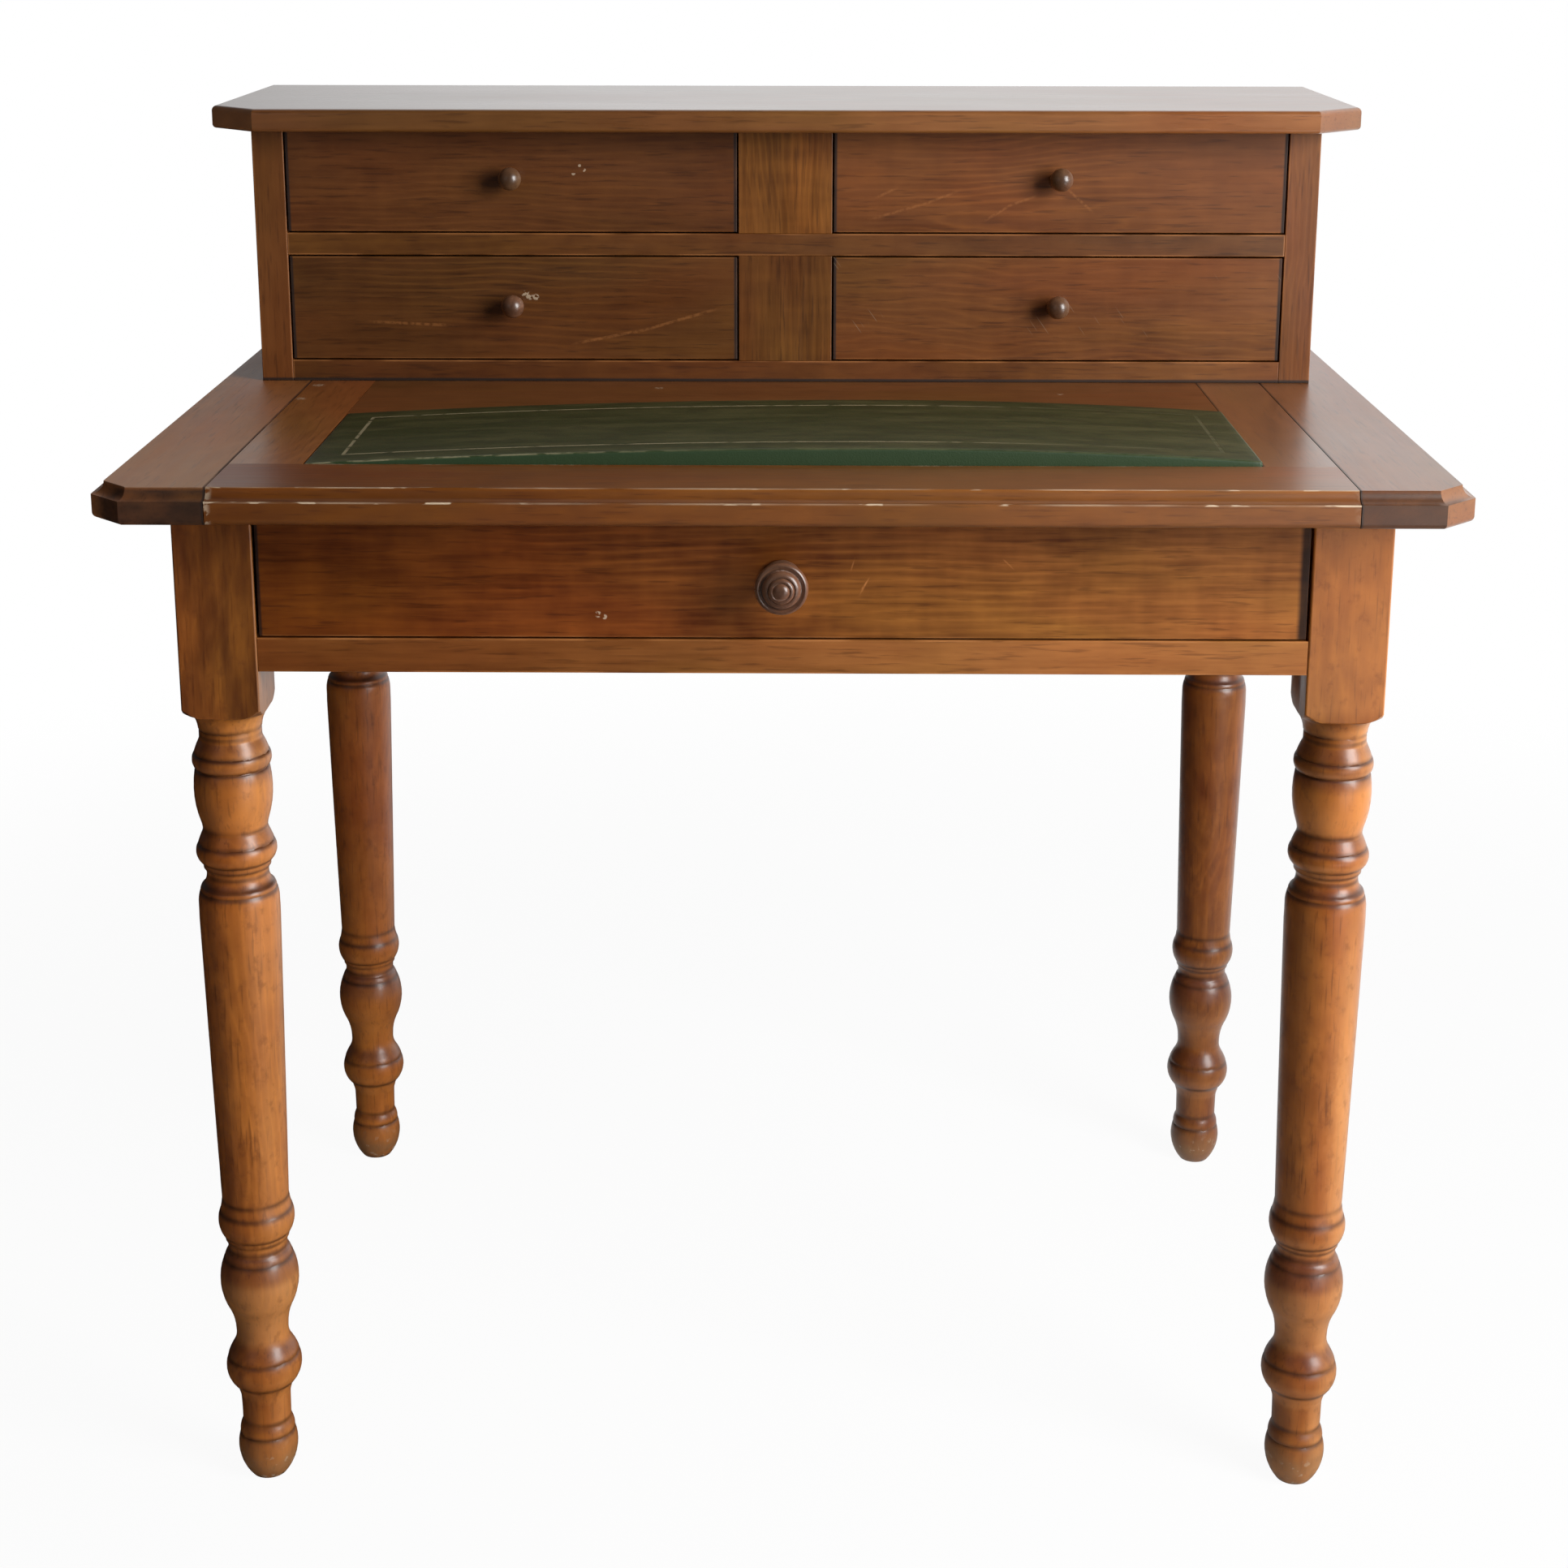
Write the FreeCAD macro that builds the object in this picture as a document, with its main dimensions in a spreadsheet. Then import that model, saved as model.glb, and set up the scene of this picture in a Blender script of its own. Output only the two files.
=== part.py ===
import FreeCAD, Part
import math
import os
import Sketcher
from FreeCAD import Placement, Rotation, Vector

# Bonheur du jour: a turned-leg writing table with a frieze drawer and a pull-out
# writing slide, carrying a low case of four small drawers. Lengths in millimetres.
# Frame: +Z up, the front looks along -Y, origin on the floor under the middle of the box.

SIZES = {
    # Table top
    "top_width": 894.0,
    "top_depth": 615.0,
    "table_height": 755.0,
    "top_thickness": 24.0,
    "wing_width": 77.4,
    "wing_cant": 23.0,
    "cove_radius": 8.0,
    "underside_round": 4.0,
    "rear_strip_depth": 36.0,
    # Writing slide
    "slide_gap": 0.6,
    "slide_rear_gap": 4.0,
    "slide_front_width": 79.0,
    "slide_end_width": 49.0,
    "slide_joint_gap": 0.4,
    "slide_travel": 155.0,
    "slide_stop_width": 120.0,
    "slide_stop_depth": 20.0,
    "leather_length": 176.0,
    "leather_recess": 4.0,
    "leather_left_edge": 4.2,
    "leather_right_edge": 7.5,
    "leather_crest": 15.5,
    "leather_crest_offset": 70.0,
    "leather_gap": 0.4,
    # Legs
    "leg_block": 53.0,
    "leg_overhang_front": 46.0,
    "leg_overhang_side": 44.5,
    "leg_overhang_rear": 16.5,
    "turned_height": 586.0,
    "turned_radius": 28.5,
    "shoulder_radius": 27.5,
    "shoulder_height": 9.0,
    "block_ease": 1.5,
    # Table frame
    "apron_height": 111.0,
    "apron_thickness": 20.0,
    "apron_setback": 3.0,
    "front_setback": 0.8,
    "tenon_length": 18.0,
    "tenon_thickness": 8.0,
    "tenon_shoulder": 10.0,
    "rail_tenon_width": 20.0,
    "upper_tenon_width": 14.0,
    "upper_tenon_thickness": 7.0,
    "front_rail_height": 23.5,
    "front_rail_depth": 45.0,
    "upper_rail_height": 14.0,
    "upper_rail_depth": 27.0,
    "bearer_width": 34.0,
    "runner_height": 17.0,
    "runner_ledge": 22.0,
    "guide_height": 20.0,
    "drawer_stop_width": 40.0,
    "drawer_stop_depth": 16.0,
    "drawer_stop_height": 5.0,
    "drawer_stop_spacing": 320.0,
    # Frieze drawer
    "frieze_gap": 1.9,
    "frieze_gap_under": 1.3,
    "frieze_gap_over": 1.5,
    "frieze_front_thickness": 20.0,
    "frieze_side_inset": 0.5,
    "frieze_side_thickness": 12.0,
    "frieze_side_height": 70.0,
    "frieze_rear_gap": 38.7,
    "frieze_back_thickness": 12.0,
    "frieze_bottom_thickness": 6.0,
    "frieze_bottom_rise": 6.0,
    "frieze_groove_depth": 5.0,
    "frieze_knob_radius": 17.5,
    "frieze_knob_reach": 36.0,
    "frieze_knob_drop": 2.0,
    "frieze_shank_radius": 5.0,
    # Upper case
    "case_side_inset": 39.0,
    "case_depth": 222.0,
    "case_rear_inset": 6.0,
    "case_side_thickness": 24.0,
    "case_bottom_thickness": 16.5,
    "case_shelf_thickness": 17.0,
    "case_top_thickness": 17.0,
    "case_back_thickness": 8.0,
    "lower_opening": 82.0,
    "upper_opening": 79.5,
    "case_top_overhang_front": 34.0,
    "case_top_overhang_side": 30.0,
    "case_top_overhang_rear": 6.0,
    "case_top_cant": 38.0,
    "case_top_round_over": 4.0,
    "case_top_round_under": 3.0,
    "centre_panel_width": 72.0,
    "centre_panel_thickness": 16.0,
    "divider_thickness": 10.0,
    # Small drawers
    "small_gap": 1.2,
    "small_front_thickness": 18.0,
    "small_side_inset": 0.5,
    "small_side_thickness": 8.0,
    "small_side_height": 58.0,
    "small_rear_gap": 14.0,
    "small_back_thickness": 8.0,
    "small_bottom_thickness": 5.0,
    "small_bottom_rise": 4.0,
    "small_groove_depth": 3.0,
    "small_knob_radius": 8.8,
    "small_knob_reach": 21.2,
    "small_knob_rise": 3.0,
    "small_shank_radius": 3.0,
    # Fits and finish
    "tenon_clearance": 0.2,
    "tenon_end_clearance": 0.8,
    "groove_clearance": 0.2,
    "shank_clearance": 0.3,
    "shank_end_clearance": 2.0,
    "running_clearance": 0.3,
    "edge_ease": 0.6,
    "overrun": 20.0,
}

# Turned leg from the floor up: radius and height as shares of turned_radius and
# turned_height, and the swell of the arc that leads to the point, as a share of
# turned_radius (outwards when positive, a straight line when zero).
LEG_SHARES = [
    (0.450, 0.0000, 0.000),
    # Foot bulb with its groove and bead
    (0.750, 0.0400, 0.073),
    (0.700, 0.0568, 0.012),
    (0.672, 0.0580, 0.000),
    (0.690, 0.0595, 0.000),
    (0.625, 0.0735, 0.020),
    # Ankle
    (0.610, 0.0760, 0.000),
    (0.618, 0.1050, 0.000),
    # Lower ring
    (0.660, 0.1170, -0.012),
    (0.745, 0.1275, -0.010),
    (0.790, 0.1290, 0.000),
    (0.900, 0.1635, 0.094),
    (0.868, 0.1650, 0.000),
    (0.885, 0.1666, 0.000),
    (0.735, 0.1815, 0.010),
    # Waist and lower vase
    (0.651, 0.2000, -0.030),
    (0.790, 0.2322, -0.035),
    (0.868, 0.2980, 0.146),
    (0.838, 0.2992, 0.000),
    (0.846, 0.3006, 0.000),
    (0.775, 0.3085, 0.006),
    (0.735, 0.3105, 0.000),
    # Neck and ring under the shaft
    (0.735, 0.3160, 0.000),
    (0.762, 0.3235, -0.008),
    (0.790, 0.3250, 0.000),
    (0.800, 0.3305, 0.000),
    (0.840, 0.3318, 0.000),
    (0.905, 0.3620, 0.067),
    (0.890, 0.3630, 0.000),
    (0.838, 0.3755, -0.006),
    (0.825, 0.3790, 0.000),
    # Tapered shaft and its collar
    (0.975, 0.7450, 0.004),
    (0.972, 0.7640, 0.000),
    (0.935, 0.7775, 0.010),
    (0.905, 0.7788, 0.000),
    (0.915, 0.7805, 0.000),
    (0.880, 0.7855, 0.006),
    (0.850, 0.7865, 0.000),
    (0.746, 0.7975, -0.020),
    # Upper ring
    (0.742, 0.8020, 0.000),
    (0.785, 0.8075, -0.005),
    (0.805, 0.8085, 0.000),
    (0.812, 0.8145, 0.000),
    (0.850, 0.8155, 0.000),
    (0.915, 0.8378, 0.080),
    (0.885, 0.8388, 0.000),
    (0.898, 0.8402, 0.000),
    (0.790, 0.8530, 0.004),
    # Upper vase
    (0.776, 0.8575, -0.004),
    (0.800, 0.8645, -0.004),
    (0.895, 0.9285, 0.083),
    (0.850, 0.9298, 0.000),
    (0.850, 0.9315, 0.000),
    # Beads under the block
    (0.892, 0.9325, 0.000),
    (0.915, 0.9483, 0.040),
    (0.880, 0.9492, 0.000),
    (0.890, 0.9505, 0.000),
    (0.765, 0.9655, 0.006),
    (0.747, 0.9690, -0.004),
    (0.745, 0.9770, 0.000),
    (0.725, 0.9785, 0.000),
    (0.755, 0.9800, 0.000),
    (0.905, 1.0000, -0.030),
]

# Frieze knob from its seat outwards, ringed on its face: shares of its radius and reach,
# and the swell as a share of its radius.
FRIEZE_KNOB_SHARES = [
    (0.720, 0.000, 0.000),
    (0.720, 0.090, 0.046),
    (0.490, 0.118, 0.000),
    (0.457, 0.400, -0.030),
    (0.869, 0.615, -0.069),
    (0.880, 0.775, 0.131),
    (0.790, 0.745, 0.000),
    (0.715, 0.750, 0.000),
    (0.530, 0.890, 0.075),
    (0.490, 0.862, 0.000),
    (0.360, 0.945, 0.050),
    (0.320, 0.920, 0.000),
    (0.040, 1.000, 0.050),
    (0.000, 1.000, 0.000),
]

# Small ball knob from its seat outwards, in the same shares.
SMALL_KNOB_SHARES = [
    (0.640, 0.000, 0.000),
    (0.640, 0.075, 0.040),
    (0.440, 0.090, 0.000),
    (0.440, 0.210, -0.030),
    (1.000, 0.585, 0.153),
    (0.080, 1.000, 0.265),
    (0.000, 1.000, 0.000),
]

# Swell of an arc that ends level at its crest, as a share of its rise.
LEVEL_CREST_SHARE = 0.25
# Swell of the rounding on the block's lower corners, as a share of its height.
SHOULDER_SWELL_SHARE = 0.2

# Positions closer than this count as one, in millimetres.
TOLERANCE = 1e-4
FULL_TURN = 360.0
# The order number of a circle's centre among the points of a sketch edge.
CENTRE_INDEX = 3

document = FreeCAD.newDocument("BonheurDuJour")
sheet = document.addObject("Spreadsheet::Sheet", "Sizes")
nodes = []


class Size:
    """A length with the sheet expression it comes from."""

    def __init__(self, text, value):
        self.text = text
        self.value = value

    @staticmethod
    def of(other):
        if isinstance(other, Size):
            return other
        return Size(repr(other), other)

    def join(self, sign, other, value):
        return Size("(%s %s %s)" % (self.text, sign, other.text), value)

    def __add__(self, other):
        other = Size.of(other)
        return self.join("+", other, self.value + other.value)

    def __sub__(self, other):
        other = Size.of(other)
        return self.join("-", other, self.value - other.value)

    def __mul__(self, other):
        other = Size.of(other)
        return self.join("*", other, self.value * other.value)

    def __truediv__(self, other):
        other = Size.of(other)
        return self.join("/", other, self.value / other.value)

    def __rsub__(self, other):
        return Size.of(other) - self

    def __rmul__(self, other):
        return Size.of(other) * self

    def __neg__(self):
        return Size("(-%s)" % self.text, -self.value)


class Sizes:
    """The driving dimensions, read from the sheet by name."""

    def __getattr__(self, name):
        return Size("Sizes.%s" % name, float(sheet.get(name)))


def fill_sheet():
    for row, (name, value) in enumerate(SIZES.items(), start=1):
        sheet.set("A%d" % row, name)
        sheet.set("B%d" % row, repr(value))
        sheet.setAlias("B%d" % row, name)
    document.recompute()


def bind(thing, path, length):
    thing.setExpression(path, Size.of(length).text)


def place(thing, x, y, z):
    for axis, length in zip("xyz", (x, y, z)):
        bind(thing, "Placement.Base.%s" % axis, length)


def keep(thing, label):
    thing.Label = label
    nodes.append(thing)
    return thing


# Modelling helpers

def block(name, x, y, z):
    """A box between two bounds on each axis, given in either order."""
    bounds = [sorted(span, key=lambda length: length.value) for span in (x, y, z)]
    box = document.addObject("Part::Box", name)
    for path, (low, high) in zip(("Length", "Width", "Height"), bounds):
        bind(box, path, high - low)
    place(box, *(low for low, high in bounds))
    return box


def board(label, x, y, z):
    """A plain board."""
    return keep(block(label, x, y, z), label)


def joined(label, blank, tongue):
    """A board with a tongue or a pair of tenons grown out of it."""
    whole = document.addObject("Part::Fuse", label + "_joined")
    whole.Base = blank
    whole.Tool = tongue
    return whole


def less(label, blank, hollows):
    """A board with box-shaped hollows cut out of it."""
    cutter = hollows[0]
    if len(hollows) > 1:
        cutter = document.addObject("Part::MultiFuse", label + "_hollows")
        cutter.Shapes = hollows
    rest = document.addObject("Part::Cut", label + "_cut")
    rest.Base = blank
    rest.Tool = cutter
    return rest


def pair(label, pieces):
    """Two like pieces kept as one node."""
    both = document.addObject("Part::Compound", label)
    both.Links = pieces
    keep(both, label)


def about(middle, width):
    """Bounds of a width set evenly about a middle."""
    return middle - width / 2, middle + width / 2


def wider(bounds, clearance):
    return bounds[0] - clearance, bounds[1] + clearance


def plane_of(body, role):
    return next(item for item in body.Origin.OriginFeatures if item.Role == role)


def new_body(label):
    return document.addObject("PartDesign::Body", label)


def new_sketch(body, role, name, lift=None):
    """A sketch on one of the body's origin planes, lifted along its normal when asked."""
    sketch = body.newObject("Sketcher::SketchObject", name)
    sketch.AttachmentSupport = [(plane_of(body, role), "")]
    sketch.MapMode = "FlatFace"
    if lift is not None:
        bind(sketch, "AttachmentOffset.Base.z", lift)
    return sketch


def arc_between(start, end, swell):
    """The arc from start to end that stands off its chord by swell."""
    first = Vector(start[0].value, start[1].value, 0)
    last = Vector(end[0].value, end[1].value, 0)
    run = last - first
    middle = (first + last) * 0.5
    outward = Vector(run.y, -run.x, 0).normalize()
    return Part.Arc(first, middle + outward * swell.value, last)


def arc_radius(start, end, swell):
    across = end[0] - start[0]
    along = end[1] - start[1]
    chord_square = across * across + along * along
    return chord_square / (swell * 8) + swell / 2


def pin_point(constraints, bound, geometry, end, point):
    """Fix one end of an edge at a point, each distance bound to the sheet."""
    axes = (("DistanceX", -2), ("DistanceY", -1))
    for (kind, axis), length in zip(axes, point):
        if length.value == 0.0:
            constraints.append(Sketcher.Constraint("PointOnObject", geometry, end, axis))
            continue
        bound.append((len(constraints), length))
        constraints.append(Sketcher.Constraint(kind, -1, 1, geometry, end, length.value))


def draw_outline(sketch, points):
    """A closed outline of (x, y, swell) points; the swell shapes the edge that leads to a point."""
    points = [(Size.of(x), Size.of(y), Size.of(swell)) for x, y, swell in points]
    constraints = []
    bound = []
    ends = []
    for index, end in enumerate(points):
        start = points[index - 1]
        swell = end[2]
        first = Vector(start[0].value, start[1].value, 0)
        last = Vector(end[0].value, end[1].value, 0)
        if swell.value == 0.0:
            geometry = sketch.addGeometry(Part.LineSegment(first, last), False)
            ends.append((geometry, 1, 2))
            continue
        geometry = sketch.addGeometry(arc_between(start, end, swell), False)
        outward = swell.value > 0
        ends.append((geometry, 1, 2) if outward else (geometry, 2, 1))
        radius = arc_radius(start, end, swell)
        if not outward:
            radius = -radius
        bound.append((len(constraints), radius))
        constraints.append(Sketcher.Constraint("Radius", geometry, radius.value))
    for index, (geometry, start, end) in enumerate(ends):
        after = ends[(index + 1) % len(ends)]
        constraints.append(Sketcher.Constraint("Coincident", geometry, end, after[0], after[1]))
        pin_point(constraints, bound, geometry, end, points[index][:2])
    offset = sketch.ConstraintCount
    sketch.addConstraint(constraints)
    for number, length in bound:
        bind(sketch, "Constraints[%d]" % (offset + number), length)


def draw_polygon(sketch, corners):
    draw_outline(sketch, [(x, y, 0.0) for x, y in corners])


def draw_rectangle(sketch, x, y):
    draw_polygon(sketch, [(x[0], y[0]), (x[1], y[0]), (x[1], y[1]), (x[0], y[1])])


def draw_circle(sketch, x, y, radius):
    center = Vector(x.value, y.value, 0)
    circle = Part.Circle(center, Vector(0, 0, 1), radius.value)
    geometry = sketch.addGeometry(circle, False)
    constraints = []
    bound = []
    pin_point(constraints, bound, geometry, CENTRE_INDEX, (x, y))
    bound.append((len(constraints), radius))
    constraints.append(Sketcher.Constraint("Radius", geometry, radius.value))
    offset = sketch.ConstraintCount
    sketch.addConstraint(constraints)
    for number, length in bound:
        bind(sketch, "Constraints[%d]" % (offset + number), length)


def pad(body, sketch, length, name):
    feature = body.newObject("PartDesign::Pad", name)
    feature.Profile = sketch
    bind(feature, "Length", length)
    document.recompute()
    return feature


def pocket(body, sketch, depth, name):
    before = body.Shape.Volume
    feature = body.newObject("PartDesign::Pocket", name)
    feature.Profile = sketch
    bind(feature, "Length", depth)
    document.recompute()
    if body.Shape.Volume >= before:
        raise RuntimeError("%s cuts nothing" % name)
    return feature


def turn(body, kind, sketch, name):
    feature = body.newObject("PartDesign::%s" % kind, name)
    feature.Profile = sketch
    feature.ReferenceAxis = (sketch, ["V_Axis"])
    feature.Angle = FULL_TURN
    document.recompute()
    return feature


def round_edges(body, chosen, radius, name):
    """Round the edges of the body's last feature that the chosen test accepts."""
    base = body.Tip
    picked = ["Edge%d" % number for number, edge in enumerate(base.Shape.Edges, start=1) if chosen(edge)]
    feature = body.newObject("PartDesign::Fillet", name)
    feature.Base = (base, picked)
    bind(feature, "Radius", radius)
    document.recompute()
    return feature


def lies_at(edge, axis, value):
    """True where the whole edge lies at one value of an axis."""
    return all(math.isclose(getattr(vertex.Point, axis), value, abs_tol=TOLERANCE) for vertex in edge.Vertexes)


def cove(body, along, start, length, name):
    """Cut a hollow moulding along an arris that starts at a point and runs for a length."""
    before = body.Shape.Volume
    cutter = body.newObject("PartDesign::SubtractiveCylinder", name)
    bind(cutter, "Radius", size.cove_radius)
    bind(cutter, "Height", length)
    cutter.Placement = Placement(Vector(0, 0, 0), Rotation(Vector(0, 0, 1), along))
    place(cutter, *start)
    document.recompute()
    if body.Shape.Volume >= before:
        raise RuntimeError("%s cuts nothing" % name)
    return cutter


def eased_blank(label, x, y, z):
    """A board whose front arrises are eased."""
    body = new_body(label)
    sketch = new_sketch(body, "XY_Plane", label + "_plan")
    draw_rectangle(sketch, (Size.of(0.0), x[1] - x[0]), (Size.of(0.0), y[1] - y[0]))
    pad(body, sketch, z[1] - z[0], label + "_blank")
    round_edges(body, lambda edge: lies_at(edge, "y", 0.0), size.edge_ease, label + "_ease")
    place(body, x[0], y[0], z[0])
    return body


def eased_board(label, x, y, z):
    return keep(eased_blank(label, x, y, z), label)


def turned_profile(radius, reach, shares):
    return [(radius * r, reach * h, radius * swell) for r, h, swell in shares]


fill_sheet()
size = Sizes()

# Levels and places worked out from the driving dimensions

frame_top = size.table_height - size.top_thickness
frame_bottom = frame_top - size.apron_height
front_rail_top = frame_bottom + size.front_rail_height

top_half = size.top_width / 2
top_front = -size.top_depth / 2
top_rear = size.top_depth / 2
wing_inner = top_half - size.wing_width
slide_half = wing_inner - size.slide_gap

leg_half = size.leg_block / 2
leg_x = top_half - size.leg_overhang_side - leg_half
leg_front_y = top_front + size.leg_overhang_front + leg_half
leg_rear_y = top_rear - size.leg_overhang_rear - leg_half
block_inner = leg_x - leg_half
front_face = leg_front_y - leg_half + size.front_setback
apron_front = leg_front_y + leg_half
apron_rear = leg_rear_y - leg_half
apron_outer = leg_x + leg_half - size.apron_setback
apron_inner = apron_outer - size.apron_thickness
back_outer = leg_rear_y + leg_half - size.apron_setback
back_inner = back_outer - size.apron_thickness
rail_y = (front_face, front_face + size.front_rail_depth)
upper_rail_under = frame_top - size.upper_rail_height
upper_rail_y = (apron_front - size.upper_rail_depth, apron_front)

apron_tenon_x = about((apron_inner + apron_outer) / 2, size.tenon_thickness)
apron_tenon_z = (frame_bottom + size.tenon_shoulder, frame_top - size.tenon_shoulder)
back_tenon_y = about((back_inner + back_outer) / 2, size.tenon_thickness)
rail_tenon_y = about((rail_y[0] + rail_y[1]) / 2, size.rail_tenon_width)
rail_tenon_z = about((frame_bottom + front_rail_top) / 2, size.tenon_thickness)
upper_tenon_y = about((upper_rail_y[0] + upper_rail_y[1]) / 2, size.upper_tenon_width)
upper_tenon_z = about((upper_rail_under + frame_top) / 2, size.upper_tenon_thickness)
tenon_reach = block_inner + size.tenon_length
tenon_x = (-tenon_reach, tenon_reach)

case_half = top_half - size.case_side_inset
case_inner = case_half - size.case_side_thickness
case_rear = top_rear - size.case_rear_inset
case_front = case_rear - size.case_depth
case_back_front = case_rear - size.case_back_thickness
lower_floor = size.table_height + size.case_bottom_thickness
shelf_under = lower_floor + size.lower_opening
upper_floor = shelf_under + size.case_shelf_thickness
case_ceiling = upper_floor + size.upper_opening
centre_half = size.centre_panel_width / 2


# Legs

def mortises(side, front):
    """The hollows in one leg's block for the tenons of the rails that meet there."""
    fit = size.tenon_clearance
    depth = size.tenon_length + size.tenon_end_clearance
    apron_x = [side * bound for bound in wider(apron_tenon_x, fit)]
    apron_z = wider(apron_tenon_z, fit)
    rail_x = (side * (block_inner - size.overrun), side * (block_inner + depth))
    if not front:
        apron_y = (apron_rear - size.overrun, apron_rear + depth)
        return [
            block("mortise", apron_x, apron_y, apron_z),
            block("mortise", rail_x, wider(back_tenon_y, fit), apron_z),
        ]
    apron_y = (apron_front - depth, apron_front + size.overrun)
    return [
        block("mortise", apron_x, apron_y, apron_z),
        block("mortise", rail_x, wider(rail_tenon_y, fit), wider(rail_tenon_z, fit)),
        block("mortise", rail_x, wider(upper_tenon_y, fit), wider(upper_tenon_z, fit)),
    ]


def leg(label, side, front):
    """A leg turned from square stock, its block left square at the top and mortised."""
    body = new_body(label + "_stock")
    turned = new_sketch(body, "XZ_Plane", label + "_profile")
    outline = turned_profile(size.turned_radius, size.turned_height, LEG_SHARES)
    axis_ends = [(0.0, size.turned_height, 0.0), (0.0, 0.0, 0.0)]
    draw_outline(turned, outline + axis_ends)
    turn(body, "Revolution", turned, label + "_turning")
    square = new_sketch(body, "XY_Plane", label + "_square", lift=size.turned_height)
    draw_rectangle(square, (-leg_half, leg_half), (-leg_half, leg_half))
    pad(body, square, frame_top - size.turned_height, label + "_block")
    corner = leg_half * math.sqrt(2)

    def upright_arris(edge):
        ends = edge.Vertexes
        return len(ends) == 2 and all(
            math.isclose(math.hypot(end.X, end.Y), corner.value, abs_tol=TOLERANCE) for end in ends
        )

    round_edges(body, upright_arris, size.block_ease, label + "_arris")
    shoulder = new_sketch(body, "XZ_Plane", label + "_shoulder")
    shoulder_top = size.turned_height + size.shoulder_height
    draw_outline(shoulder, [
        (size.shoulder_radius, size.turned_height, -size.shoulder_height * SHOULDER_SWELL_SHARE),
        (corner, size.turned_height, 0.0),
        (corner, shoulder_top, 0.0),
    ])
    before = body.Shape.Volume
    turn(body, "Groove", shoulder, label + "_rounding")
    if body.Shape.Volume >= before:
        raise RuntimeError("%s shoulder cuts nothing" % label)
    place(body, side * leg_x, leg_front_y if front else leg_rear_y, 0.0)
    keep(less(label, body, mortises(side, front)), label)


leg("leg_front_left", -1, True)
leg("leg_front_right", 1, True)
leg("leg_rear_left", -1, False)
leg("leg_rear_right", 1, False)

# Table frame

apron_y = (apron_front, apron_rear)
apron_z = (frame_bottom, frame_top)


def side_apron(label, side):
    """A side rail with a tenon into each leg."""
    plank = block(label + "_plank", (side * apron_inner, side * apron_outer), apron_y, apron_z)
    tenon_x = [side * bound for bound in apron_tenon_x]
    tenons = block(label + "_tenons", tenon_x, wider(apron_y, size.tenon_length), apron_tenon_z)
    keep(joined(label, plank, tenons), label)


side_apron("apron_left", -1)
side_apron("apron_right", 1)

rail_x = (-block_inner, block_inner)
back_plank = block("apron_back_plank", rail_x, (back_inner, back_outer), apron_z)
back_tenons = block("apron_back_tenons", tenon_x, back_tenon_y, apron_tenon_z)
keep(joined("apron_back", back_plank, back_tenons), "apron_back")

rail_plank = eased_blank("front_rail_plank", rail_x, rail_y, (frame_bottom, front_rail_top))
rail_tenons = block("front_rail_tenons", tenon_x, rail_tenon_y, rail_tenon_z)
keep(joined("front_rail", rail_plank, rail_tenons), "front_rail")

upper_plank = block("upper_rail_plank", rail_x, upper_rail_y, (upper_rail_under, frame_top))
upper_tenons = block("upper_rail_tenons", tenon_x, upper_tenon_y, upper_tenon_z)
keep(joined("upper_rail", upper_plank, upper_tenons), "upper_rail")

bearer_z = (upper_rail_under, frame_top)
board("bearer_left", (-apron_inner, -apron_inner + size.bearer_width), apron_y, bearer_z)
board("bearer_right", (apron_inner - size.bearer_width, apron_inner), apron_y, bearer_z)

frieze_half = block_inner - size.frieze_gap
frieze_side_outer = frieze_half - size.frieze_side_inset
guide_inner = frieze_side_outer + size.running_clearance
runner_inner = frieze_side_outer - size.runner_ledge


def runner(label, side):
    """A drawer runner with its side guide, an L in section."""
    body = new_body(label)
    section = new_sketch(body, "XZ_Plane", label + "_section")
    under = front_rail_top - size.runner_height
    over = front_rail_top + size.guide_height
    draw_polygon(section, [
        (side * runner_inner, under),
        (side * apron_inner, under),
        (side * apron_inner, over),
        (side * guide_inner, over),
        (side * guide_inner, front_rail_top),
        (side * runner_inner, front_rail_top),
    ])
    pad(body, section, apron_rear - apron_front, label + "_length")
    place(body, 0.0, apron_rear, 0.0)
    keep(body, label)


runner("runner_left", -1)
runner("runner_right", 1)

frieze_back_face = front_face + size.frieze_front_thickness
stop_front = frieze_back_face + size.running_clearance


def drawer_stops():
    """Two blocks on the front rail that the frieze drawer closes against."""
    stops = []
    for side in (-1, 1):
        stop_x = about(side * size.drawer_stop_spacing / 2, size.drawer_stop_width)
        stop_y = (stop_front, stop_front + size.drawer_stop_depth)
        stop_z = (front_rail_top, front_rail_top + size.drawer_stop_height)
        stops.append(block("drawer_stop", stop_x, stop_y, stop_z))
    pair("drawer_stops", stops)


drawer_stops()


# Table top: two fixed wings and a rear strip, with the slide between them

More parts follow.
